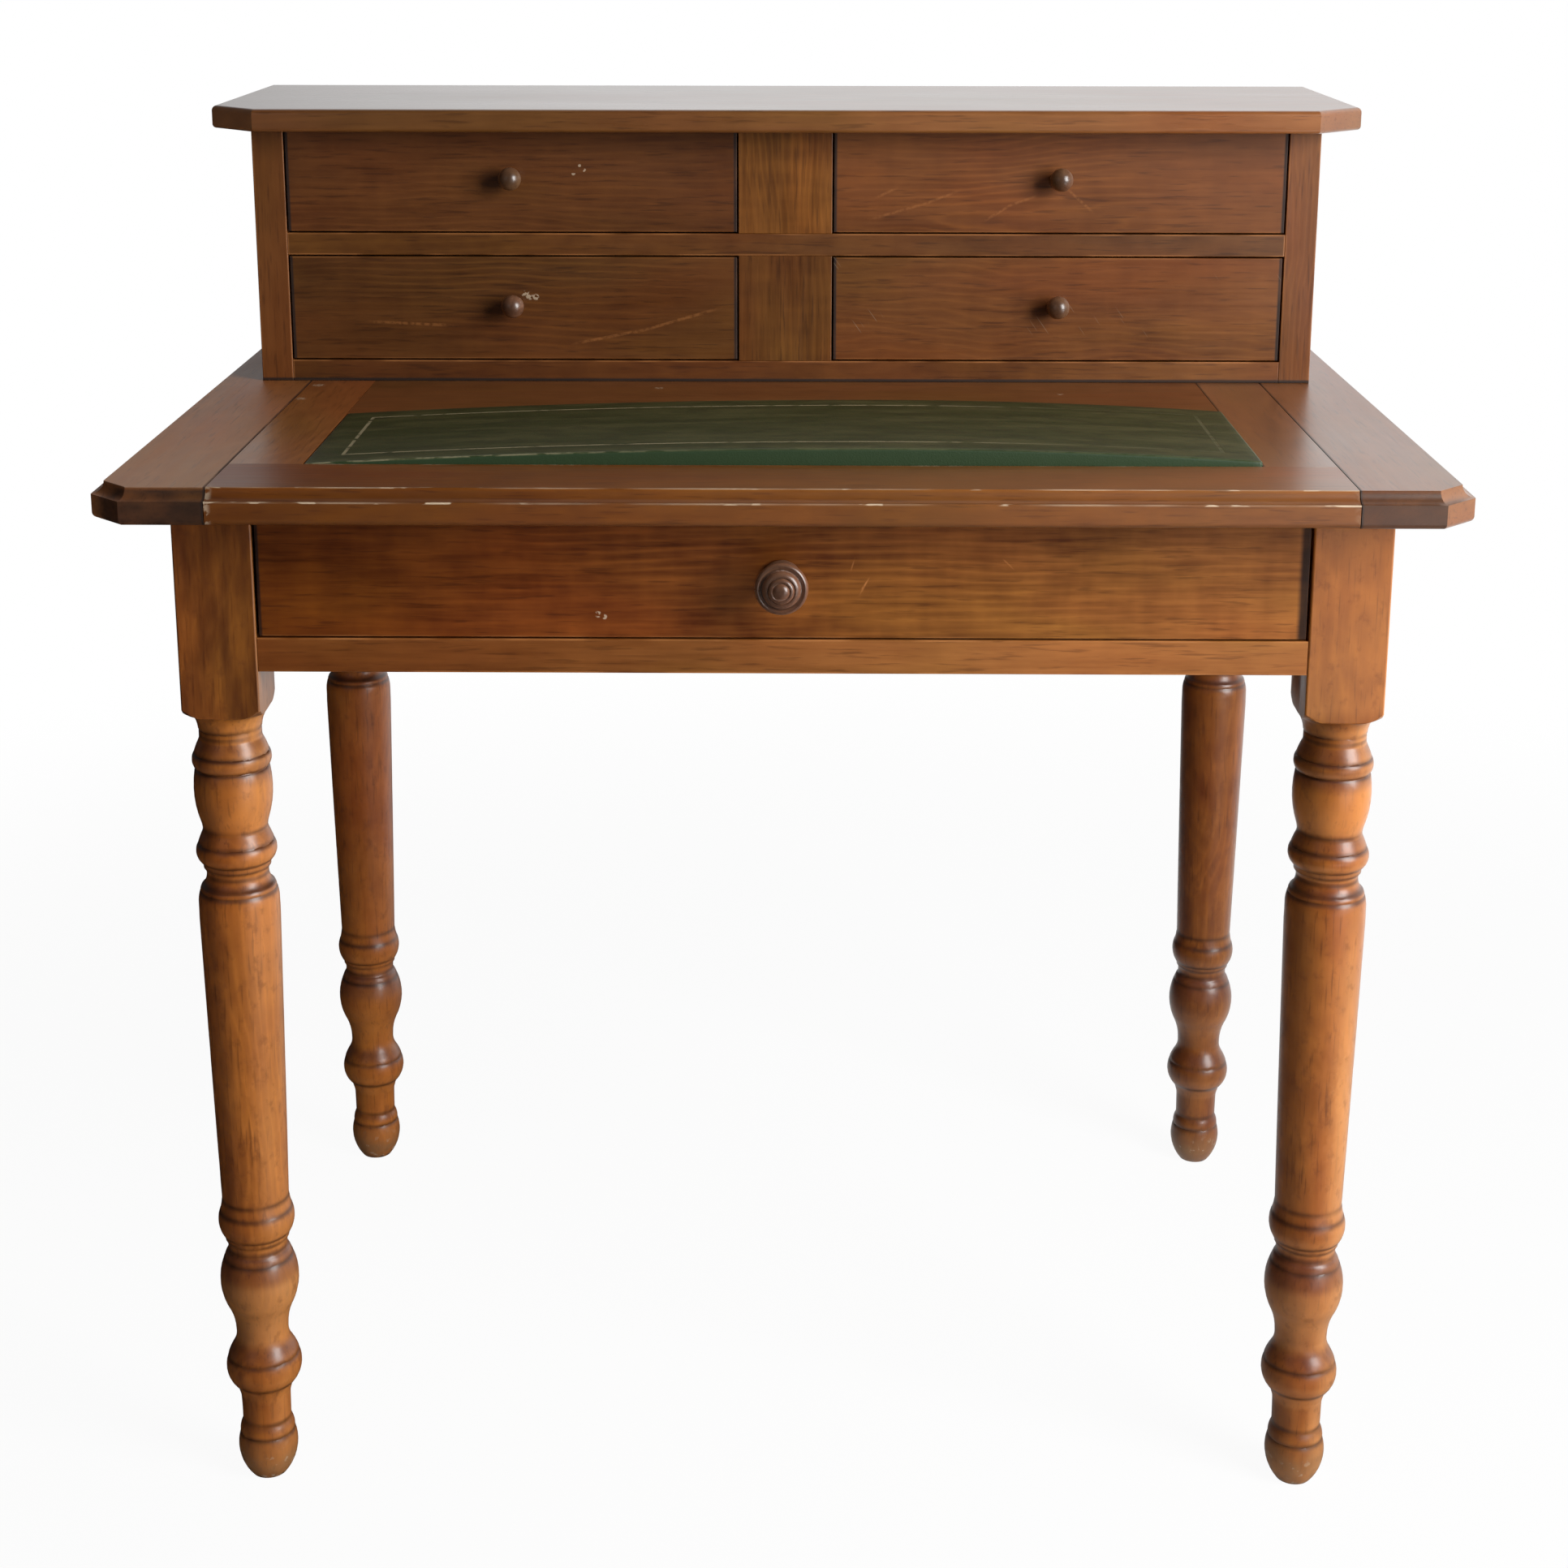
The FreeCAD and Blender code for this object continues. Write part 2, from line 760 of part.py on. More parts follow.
def wing(label, side):
    """A fixed side of the top, canted at the front corner, hollow-moulded on its outer edges."""
    body = new_body(label)
    plan = new_sketch(body, "XY_Plane", label + "_plan")
    corners = [
        (side * wing_inner, top_front),
        (side * (top_half - size.wing_cant), top_front),
        (side * top_half, top_front + size.wing_cant),
        (side * top_half, top_rear),
        (side * wing_inner, top_rear),
    ]
    draw_polygon(plan, corners)
    pad(body, plan, size.top_thickness, label + "_blank")
    inner = abs(wing_inner.value)

    def shown_underside(edge):
        middle = edge.CenterOfMass
        low = lies_at(edge, "z", 0.0)
        at_joint = math.isclose(abs(middle.x), inner, abs_tol=TOLERANCE)
        at_rear = lies_at(edge, "y", top_rear.value)
        return low and not at_joint and not at_rear

    round_edges(body, shown_underside, size.underside_round, label + "_underside")
    over = size.overrun
    height = size.top_thickness
    cove(body, Vector(side, 0, 0), (side * (wing_inner - over), top_front, height),
         size.wing_width + over + over, label + "_front_cove")
    cove(body, Vector(0, 1, 0), (side * top_half, top_front - over, height),
         size.top_depth + over + over, label + "_side_cove")
    cove(body, Vector(side, 1, 0), (side * (top_half - size.wing_cant - over), top_front - over, height),
         (size.wing_cant + over + over) * math.sqrt(2), label + "_cant_cove")
    place(body, 0.0, 0.0, frame_top)
    keep(body, label)


wing("wing_left", -1)
wing("wing_right", 1)
board("top_rear_strip", (-wing_inner, wing_inner), (top_rear - size.rear_strip_depth, top_rear),
      (frame_top, size.table_height))

# Writing slide

slide_rear = top_rear - size.rear_strip_depth - size.slide_rear_gap
slide_front_rear = top_front + size.slide_front_width
panel_half = slide_half - size.slide_end_width - size.slide_joint_gap
panel_front = slide_front_rear + size.slide_joint_gap
slide_under = frame_top + size.running_clearance


def slide_front_rail():
    """The front rail of the slide, moulded like the wings beside it."""
    body = new_body("slide_front_rail")
    plan = new_sketch(body, "XY_Plane", "slide_front_plan")
    draw_rectangle(plan, (-slide_half, slide_half), (top_front, slide_front_rear))
    thickness = size.table_height - slide_under
    pad(body, plan, thickness, "slide_front_blank")

    def front_underside(edge):
        return lies_at(edge, "z", 0.0) and lies_at(edge, "y", top_front.value)

    round_edges(body, front_underside, size.underside_round, "slide_front_underside")
    over = size.overrun
    cove(body, Vector(1, 0, 0), (-slide_half - over, top_front, thickness),
         slide_half * 2 + over + over, "slide_front_cove")
    place(body, 0.0, 0.0, slide_under)
    keep(body, "slide_front_rail")


slide_front_rail()
end_y = (slide_front_rear, slide_rear)
slide_z = (slide_under, size.table_height)
board("slide_end_left", (-slide_half, -slide_half + size.slide_end_width), end_y, slide_z)
board("slide_end_right", (slide_half - size.slide_end_width, slide_half), end_y, slide_z)


def slide_panel():
    """The panel between the end boards, recessed at the front for the leather."""
    body = new_body("slide_panel")
    plan = new_sketch(body, "XY_Plane", "slide_panel_plan")
    draw_rectangle(plan, (-panel_half, panel_half), (panel_front, slide_rear))
    thickness = size.table_height - slide_under
    pad(body, plan, thickness, "slide_panel_blank")
    recess = new_sketch(body, "XY_Plane", "slide_panel_recess", lift=thickness)
    over = size.overrun
    draw_rectangle(recess, (-panel_half - over, panel_half + over),
                   (panel_front - over, slide_front_rear + size.leather_length))
    pocket(body, recess, size.leather_recess, "slide_panel_pocket")
    place(body, 0.0, 0.0, slide_under)
    keep(body, "slide_panel")


slide_panel()

leather_half = panel_half + size.slide_joint_gap - size.leather_gap
leather_rear = slide_front_rear + size.leather_length - size.leather_gap
leather_floor = size.table_height - size.leather_recess


def leather_pad():
    """The leather-covered writing pad, bowed up to a crest right of the middle."""
    body = new_body("leather_pad")
    section = new_sketch(body, "XZ_Plane", "leather_section")
    crest = size.leather_crest
    left_swell = (crest - size.leather_left_edge) * LEVEL_CREST_SHARE
    right_swell = (crest - size.leather_right_edge) * LEVEL_CREST_SHARE
    draw_outline(section, [
        (-leather_half, 0.0, 0.0),
        (leather_half, 0.0, 0.0),
        (leather_half, size.leather_right_edge, 0.0),
        (size.leather_crest_offset, crest, right_swell),
        (-leather_half, size.leather_left_edge, left_swell),
    ])
    pad(body, section, leather_rear - slide_front_rear - size.leather_gap, "leather_length")
    place(body, 0.0, leather_rear, leather_floor)
    keep(body, "leather_pad")


leather_pad()

slide_stop_front = apron_front + size.slide_travel + size.running_clearance
stop_half = size.slide_stop_width / 2
board("slide_stop", (-stop_half, stop_half),
      (slide_stop_front, slide_stop_front + size.slide_stop_depth),
      (upper_rail_under + size.running_clearance, slide_under))


# Drawers

def drawer_front(label, x, y, z, thickness, knob_rise, hole_radius):
    """A drawer front bored for its knob a rise from mid-height, its front arrises eased."""
    body = new_body(label)
    sketch = new_sketch(body, "XZ_Plane", label + "_face")
    half = (x[1] - x[0]) / 2
    height = z[1] - z[0]
    knob_height = height / 2 + knob_rise
    draw_rectangle(sketch, (-half, half), (Size.of(0.0), height))
    draw_circle(sketch, Size.of(0.0), knob_height, hole_radius)
    pad(body, sketch, thickness, label + "_blank")

    def front_arris(edge):
        straight = len(edge.Vertexes) == 2
        return straight and lies_at(edge, "y", -thickness.value)

    round_edges(body, front_arris, size.edge_ease, label + "_ease")
    place(body, x[0] + half, y + thickness, z[0])
    keep(body, label)
    return x[0] + half, z[0] + knob_height


def knob(label, x, y, z, radius, reach, shares, shank_radius, shank_length):
    """A turned knob on a shank that plugs into the drawer front."""
    body = new_body(label)
    sketch = new_sketch(body, "XZ_Plane", label + "_profile")
    head = turned_profile(radius, reach, shares)
    shank = [(0.0, -shank_length, 0.0), (shank_radius, -shank_length, 0.0), (shank_radius, 0.0, 0.0)]
    draw_outline(sketch, shank + head)
    turn(body, "Revolution", sketch, label + "_turning")
    body.Placement = Placement(Vector(0, 0, 0), Rotation(Vector(0, 0, 1), Vector(0, -1, 0)))
    place(body, x, y, z)
    keep(body, label)


def grooved_walls(name, x, y, z, thickness, groove_z, groove_depth):
    """The two sides of a drawer, grooved inside for the bottom."""
    walls = []
    for outer, inner, inward in ((x[0], x[0] + thickness, 1), (x[1], x[1] - thickness, -1)):
        wall = block(name + "_wall", (outer, inner), y, z)
        groove_x = (inner - inward * groove_depth, inner + inward * size.overrun)
        groove = block(name + "_groove", groove_x, wider(y, size.overrun), groove_z)
        walls.append(less(name, wall, [groove]))
    return walls


def frieze_drawer():
    """The wide drawer under the top."""
    front_x = (-frieze_half, frieze_half)
    front_z = (front_rail_top + size.frieze_gap_under, frame_top - size.frieze_gap_over)
    bore = size.frieze_shank_radius + size.shank_clearance
    knob_x, knob_z = drawer_front("frieze_front", front_x, front_face, front_z,
                                  size.frieze_front_thickness, -size.frieze_knob_drop, bore)
    shank = size.frieze_front_thickness - size.shank_end_clearance
    knob("frieze_knob", knob_x, front_face, knob_z, size.frieze_knob_radius,
         size.frieze_knob_reach, FRIEZE_KNOB_SHARES, size.frieze_shank_radius, shank)
    low = front_rail_top + size.running_clearance
    side_z = (low, low + size.frieze_side_height)
    rear = back_inner - size.frieze_rear_gap
    side_y = (frieze_back_face, rear)
    outer = (-frieze_side_outer, frieze_side_outer)
    inner = wider(outer, -size.frieze_side_thickness)
    floor = low + size.frieze_bottom_rise
    floor_z = (floor, floor + size.frieze_bottom_thickness)
    left, right = grooved_walls("frieze_side", outer, side_y, side_z, size.frieze_side_thickness,
                                wider(floor_z, size.groove_clearance), size.frieze_groove_depth)
    keep(left, "frieze_side_left")
    keep(right, "frieze_side_right")
    bottom_x = wider(inner, size.frieze_groove_depth - size.groove_clearance)
    board("frieze_bottom", bottom_x, side_y, floor_z)
    back_y = (rear - size.frieze_back_thickness, rear)
    board("frieze_back", inner, back_y, (floor_z[1], side_z[1]))


def small_drawer(name, x, z):
    """One of the four small drawers of the case, in its opening."""
    gap = size.small_gap
    front_x = (x[0] + gap, x[1] - gap)
    front_z = (z[0] + gap, z[1] - gap)
    bore = size.small_shank_radius + size.shank_clearance
    knob_x, knob_z = drawer_front(name + "_front", front_x, case_front, front_z,
                                  size.small_front_thickness, size.small_knob_rise, bore)
    shank = size.small_front_thickness - size.shank_end_clearance
    knob(name + "_knob", knob_x, case_front, knob_z, size.small_knob_radius,
         size.small_knob_reach, SMALL_KNOB_SHARES, size.small_shank_radius, shank)
    low = z[0] + size.running_clearance
    side_z = (low, low + size.small_side_height)
    back_face = case_front + size.small_front_thickness
    rear = case_back_front - size.small_rear_gap
    side_y = (back_face, rear)
    outer = wider(front_x, -size.small_side_inset)
    inner = wider(outer, -size.small_side_thickness)
    floor = low + size.small_bottom_rise
    floor_z = (floor, floor + size.small_bottom_thickness)
    walls = grooved_walls(name + "_side", outer, side_y, side_z, size.small_side_thickness,
                          wider(floor_z, size.groove_clearance), size.small_groove_depth)
    pair(name + "_sides", walls)
    bottom_x = wider(inner, size.small_groove_depth - size.groove_clearance)
    board(name + "_bottom", bottom_x, side_y, floor_z)
    back_y = (rear - size.small_back_thickness, rear)
    board(name + "_back", inner, back_y, (floor_z[1], side_z[1]))


frieze_drawer()
left_x = (-case_inner, -centre_half)
right_x = (centre_half, case_inner)
lower_z = (lower_floor, shelf_under)
upper_z = (upper_floor, case_ceiling)
small_drawer("drawer_upper_left", left_x, upper_z)
small_drawer("drawer_upper_right", right_x, upper_z)
small_drawer("drawer_lower_left", left_x, lower_z)
small_drawer("drawer_lower_right", right_x, lower_z)

# Upper case

side_y = (case_front, case_rear)
side_z = (size.table_height, case_ceiling)
eased_board("case_side_left", (-case_half, -case_inner), side_y, side_z)
eased_board("case_side_right", (case_inner, case_half), side_y, side_z)
shelf_x = (-case_inner, case_inner)
shelf_y = (case_front, case_back_front)
eased_board("case_bottom", shelf_x, shelf_y, (size.table_height, lower_floor))
eased_board("case_shelf", shelf_x, shelf_y, (shelf_under, upper_floor))
board("case_back", shelf_x, (case_back_front, case_rear), side_z)

panel_y = (case_front, case_front + size.centre_panel_thickness)
centre_x = (-centre_half, centre_half)
eased_board("centre_panel_lower", centre_x, panel_y, lower_z)
eased_board("centre_panel_upper", centre_x, panel_y, upper_z)
divider_y = (panel_y[1], case_back_front)
divider_inner = centre_half - size.divider_thickness
for label, divider_z in (("dividers_lower", lower_z), ("dividers_upper", upper_z)):
    left_divider = block(label + "_left", (-centre_half, -divider_inner), divider_y, divider_z)
    right_divider = block(label + "_right", (divider_inner, centre_half), divider_y, divider_z)
    pair(label, [left_divider, right_divider])


def case_top():
    """The top board of the case, canted at its front corners and rounded on its shown edges."""
    body = new_body("case_top")
    plan = new_sketch(body, "XY_Plane", "case_top_plan")
    half = case_half + size.case_top_overhang_side
    front = case_front - size.case_top_overhang_front
    rear = case_rear + size.case_top_overhang_rear
    cant = size.case_top_cant
    draw_polygon(plan, [
        (-half, rear),
        (-half, front + cant),
        (cant - half, front),
        (half - cant, front),
        (half, front + cant),
        (half, rear),
    ])
    pad(body, plan, size.case_top_thickness, "case_top_blank")

    def shown_arris(level):
        return lambda edge: lies_at(edge, "z", level.value) and not lies_at(edge, "y", rear.value)

    thickness = size.case_top_thickness
    round_edges(body, shown_arris(thickness), size.case_top_round_over, "case_top_upper_round")
    round_edges(body, shown_arris(Size.of(0.0)), size.case_top_round_under, "case_top_lower_round")
    place(body, 0.0, 0.0, case_ceiling)
    keep(body, "case_top")


case_top()

# Check and write the nodes

document.recompute()
for item in document.Objects:
    if "Invalid" in item.State or "Error" in item.State:
        raise RuntimeError("%s failed" % item.Label)
os.makedirs("parts", exist_ok=True)
for node in nodes:
    if node.Shape.isNull() or not node.Shape.isValid():
        raise RuntimeError("%s has no valid shape" % node.Label)
    node.Shape.exportStep("parts/%s.step" % node.Label)
print("%d nodes written" % len(nodes))
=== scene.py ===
import math

import bpy
from bpy.props import FloatProperty, FloatVectorProperty, PointerProperty
from bpy.types import Operator, Panel, PropertyGroup
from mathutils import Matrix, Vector


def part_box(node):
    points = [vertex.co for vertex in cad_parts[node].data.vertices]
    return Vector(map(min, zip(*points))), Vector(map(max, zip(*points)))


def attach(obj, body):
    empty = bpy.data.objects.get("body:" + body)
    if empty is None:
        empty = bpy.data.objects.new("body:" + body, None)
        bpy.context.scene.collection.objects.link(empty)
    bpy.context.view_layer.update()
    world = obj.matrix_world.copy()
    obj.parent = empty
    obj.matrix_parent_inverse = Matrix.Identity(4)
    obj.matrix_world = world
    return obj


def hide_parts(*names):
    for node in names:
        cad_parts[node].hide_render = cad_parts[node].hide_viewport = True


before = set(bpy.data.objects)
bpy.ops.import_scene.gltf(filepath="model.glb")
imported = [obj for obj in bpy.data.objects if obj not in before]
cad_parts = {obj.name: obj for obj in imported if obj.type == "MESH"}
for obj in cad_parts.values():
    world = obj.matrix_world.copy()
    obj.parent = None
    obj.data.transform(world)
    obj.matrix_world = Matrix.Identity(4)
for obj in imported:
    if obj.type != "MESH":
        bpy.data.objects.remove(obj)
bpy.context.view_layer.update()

bl_info = {
    "name": "Bonheur du jour",
    "version": (1, 0, 0),
    "blender": (4, 5, 0),
    "location": "View3D > Sidebar > Desk",
    "description": "Finishes a small writing desk in stained wood and gilt-lined leather",
    "category": "Add Mesh",
}

# Places on the desk, and half the width that the painted fall of light runs across, in metres
CASE_FRONT = 0.0795
TABLE_FRONT = -0.2607
TOP_LEVEL = 0.755
BLOCK_FOOT = 0.586
HALF_SPAN = 0.40
DRAWERS = ("drawer_upper_left", "drawer_upper_right", "drawer_lower_left", "drawer_lower_right")


# Colours and sizes that a user would change

def linear(red, green, blue):
    """A screen colour of 0 to 255 as linear light."""
    def channel(value):
        part = value / 255
        return part / 12.92 if part <= 0.04045 else ((part + 0.055) / 1.055) ** 2.4
    return tuple(channel(value) for value in (red, green, blue))


def colour(label, description, red, green, blue):
    return FloatVectorProperty(name=label, description=description, subtype="COLOR", size=3,
                               min=0.0, max=1.0, default=linear(red, green, blue))


def length(label, description, default):
    return FloatProperty(name=label, description=description, default=default, min=0.0,
                         unit="LENGTH", precision=4)


def share(label, description, default):
    return FloatProperty(name=label, description=description, default=default, min=0.0,
                         max=1.0, subtype="FACTOR")


class DESK_PG_wood(PropertyGroup):
    """Colours of the stained woods and the spacing of their growth rings."""
    case_dark: colour("Case dark", "Dark tone of the upper case", 84, 41, 12)
    case_light: colour("Case light", "Light tone of the upper case", 140, 84, 36)
    panel_dark: colour("Panel dark", "Dark tone of the centre panels", 90, 48, 8)
    panel_light: colour("Panel light", "Light tone of the centre panels", 156, 98, 36)
    frieze_dark: colour("Frieze dark", "Dark tone of the frieze drawer", 90, 42, 6)
    frieze_light: colour("Frieze light", "Light tone of the frieze drawer", 154, 91, 32)
    rail_dark: colour("Rail dark", "Dark tone of the rails", 108, 55, 12)
    rail_light: colour("Rail light", "Light tone of the rails", 176, 110, 50)
    leg_dark: colour("Leg dark", "Dark tone of the legs", 124, 58, 8)
    leg_light: colour("Leg light", "Light tone of the legs", 208, 126, 46)
    top_dark: colour("Top dark", "Dark tone of the table top", 106, 58, 24)
    top_light: colour("Top light", "Light tone of the table top", 168, 106, 56)
    inner_dark: colour("Inner dark", "Dark tone of the unstained inner boards", 128, 94, 58)
    inner_light: colour("Inner light", "Light tone of the unstained inner boards", 186, 148, 102)
    knob_dark: colour("Knob dark", "Dark tone of the knobs", 72, 46, 32)
    knob_light: colour("Knob light", "Light tone of the knobs", 126, 90, 68)
    wax: colour("Wax", "Old wax and stain in hollows", 50, 22, 6)
    rubbed: colour("Rubbed wood", "Polished wood where an arris is rubbed", 182, 118, 64)
    bare: colour("Bare wood", "Bare wood where an edge is chipped", 226, 204, 174)
    ring: length("Ring spacing", "Distance between growth rings", 0.0055)


class DESK_PG_leather(PropertyGroup):
    """Colours and tooling of the writing leather."""
    deep: colour("Deep green", "Main green of the leather", 50, 61, 26)
    bright: colour("Bright green", "Green of the rolled front edge", 44, 64, 38)
    worn: colour("Worn", "Brownish tone where the leather is rubbed", 84, 84, 48)
    gilt: colour("Gilt", "Gilt of the tooled line", 188, 178, 142)
    inset: length("Line inset", "Distance of the gilt line from the edge", 0.023)
    line: length("Line width", "Width of the gilt line", 0.0020)
    roll: length("Edge roll", "Rounding of the leather over its edge", 0.0028)
    crest_place: FloatProperty(name="Crest place", description="Place of the highest point across",
                               default=0.070, unit="LENGTH")
    left_drop: length("Left drop", "Fall from the crest to the left end", 0.0113)
    right_drop: length("Right drop", "Fall from the crest to the right end", 0.0080)


class DESK_PG_studio(PropertyGroup):
    """The camera, lamps and floor."""
    camera_place: FloatVectorProperty(name="Camera place", description="Where the camera stands",
                                      default=(0.0115, -1.9193, 1.1204), subtype="TRANSLATION")
    camera_turn: FloatVectorProperty(name="Camera turn", description="Tilt, roll and turn",
                                     default=(math.pi / 2 - 0.2528, -0.0011, 0.0091), subtype="EULER")
    lens: FloatProperty(name="Lens", description="Focal length in millimetres", default=59.63)
    shift: FloatVectorProperty(name="Shift", description="Shift of the picture", size=2,
                               default=(0.0045, -0.137))
    key: FloatProperty(name="Key lamp", description="Strength of the lamp on the right",
                       default=66.0, unit="POWER")
    fill: FloatProperty(name="Fill lamp", description="Strength of the lamp on the left",
                        default=2.0, unit="POWER")
    glow: FloatProperty(name="Floor glow", description="Light thrown up from the floor in front",
                        default=4.0, unit="POWER")
    sky: share("Sky", "Strength of the light all round", 0.07)
    floor: colour("Floor", "Colour of the floor", 240, 240, 240)


# Shader helpers

class Wire:
    """An output of a node, with arithmetic that adds Math nodes."""

    def __init__(self, finish, socket):
        self.finish = finish
        self.socket = socket

    def math(self, operation, *values):
        return self.finish.node("ShaderNodeMath", {"operation": operation}, dict(enumerate(values)))

    def __add__(self, other):
        return self.math("ADD", self, other)

    def __radd__(self, other):
        return self.math("ADD", other, self)

    def __sub__(self, other):
        return self.math("SUBTRACT", self, other)

    def __rsub__(self, other):
        return self.math("SUBTRACT", other, self)

    def __mul__(self, other):
        return self.math("MULTIPLY", self, other)

    def __rmul__(self, other):
        return self.math("MULTIPLY", other, self)

    def __pow__(self, other):
        return self.math("POWER", self, other)

    def __abs__(self):
        return self.math("ABSOLUTE", self)

    def lower(self, other):
        return self.math("MINIMUM", self, other)

    def higher(self, other):
        return self.math("MAXIMUM", self, other)

    def ramp(self, start, end):
        """0 at start, 1 at end, eased between and held beyond."""
        return self.finish.node("ShaderNodeMapRange", {"interpolation_type": "SMOOTHSTEP"},
                                {"Value": self, "From Min": start, "From Max": end})


class Finish:
    """A node tree under construction."""

    def __init__(self, tree):
        self.tree = tree
        tree.nodes.clear()

    def node(self, kind, settings=None, inputs=None, output=0):
        made = self.tree.nodes.new(kind)
        for key, value in (settings or {}).items():
            if key == "stops":
                self.set_stops(made.color_ramp, value)
            else:
                setattr(made, key, value)
        for key, value in (inputs or {}).items():
            if isinstance(value, Wire):
                self.tree.links.new(value.socket, made.inputs[key])
            else:
                made.inputs[key].default_value = value
        if isinstance(output, tuple):
            return [Wire(self, made.outputs[name]) for name in output]
        return Wire(self, made.outputs[output]) if made.outputs else None

    @staticmethod
    def set_stops(band, stops):
        while len(band.elements) < len(stops):
            band.elements.new(1.0)
        for element, (position, value) in zip(band.elements, stops):
            element.position = position
            element.color = (value, value, value, 1.0)

    def axes(self):
        place = self.node("ShaderNodeTexCoord", output="Object")
        return self.node("ShaderNodeSeparateXYZ", inputs={0: place}, output=("X", "Y", "Z"))

    def facing(self):
        normal = self.node("ShaderNodeNewGeometry", output="Normal")
        return self.node("ShaderNodeSeparateXYZ", inputs={0: normal}, output=("X", "Y", "Z"))

    def vector(self, x, y, z):
        return self.node("ShaderNodeCombineXYZ", inputs={0: x, 1: y, 2: z})

    def noise(self, vector, detail=2.0, roughness=0.5):
        return self.node("ShaderNodeTexNoise", inputs={
            "Vector": vector, "Scale": 1.0, "Detail": detail, "Roughness": roughness})

    def mix(self, amount, first, second, mode="MIX"):
        return self.node("ShaderNodeMix", {"data_type": "RGBA", "blend_type": mode},
                         {0: amount, 6: first, 7: second}, output=2)


def opaque(tint, level=1.0):
    return (tint[0] * level, tint[1] * level, tint[2] * level, 1.0)


def new_material(name):
    material = bpy.data.materials.new(name)
    material.use_nodes = True
    return material, Finish(material.node_tree)


def close_material(finish, inputs):
    shader = finish.node("ShaderNodeBsdfPrincipled", inputs=inputs)
    finish.node("ShaderNodeOutputMaterial", inputs={"Surface": shader})


# Woods

GRAIN_AXES = {"X": (0, 1, 2), "Y": (1, 0, 2), "Z": (2, 0, 1)}
COAT_ROUGHNESS = 0.30
INNER_GLOSS = 0.6
# Noises in a wood: how fine along and across the grain, whether the seed shifts it along,
# detail and roughness
WOOD_FIELDS = {
    "wander": (2.6, 6, True, 3.0, 0.5),
    "shown": (3.1, 9, False, 1.0, 0.5),
    "broad": (6, 48, True, 4.0, 0.5),
    "fibre": (14, 300, True, 3.0, 0.6),
    "flecks": (34, 520, False, 2.0, 0.5),
    "cloud": (5, 15, True, 3.0, 0.5),
    "blotch": (40, 62, True, 3.0, 0.5),
    "ripple": (70, 14, False, 2.0, 0.5),
    "hue": (4, 11, False, 2.0, 0.5),
}
RED_CAST = (1.02, 0.84, 0.76, 1.0)
GREEN_CAST = (0.90, 1.0, 0.80, 1.0)


def rightward(axes):
    """0 at the left of the desk, 1 at its right."""
    return axes[0].ramp(-HALF_SPAN, HALF_SPAN)


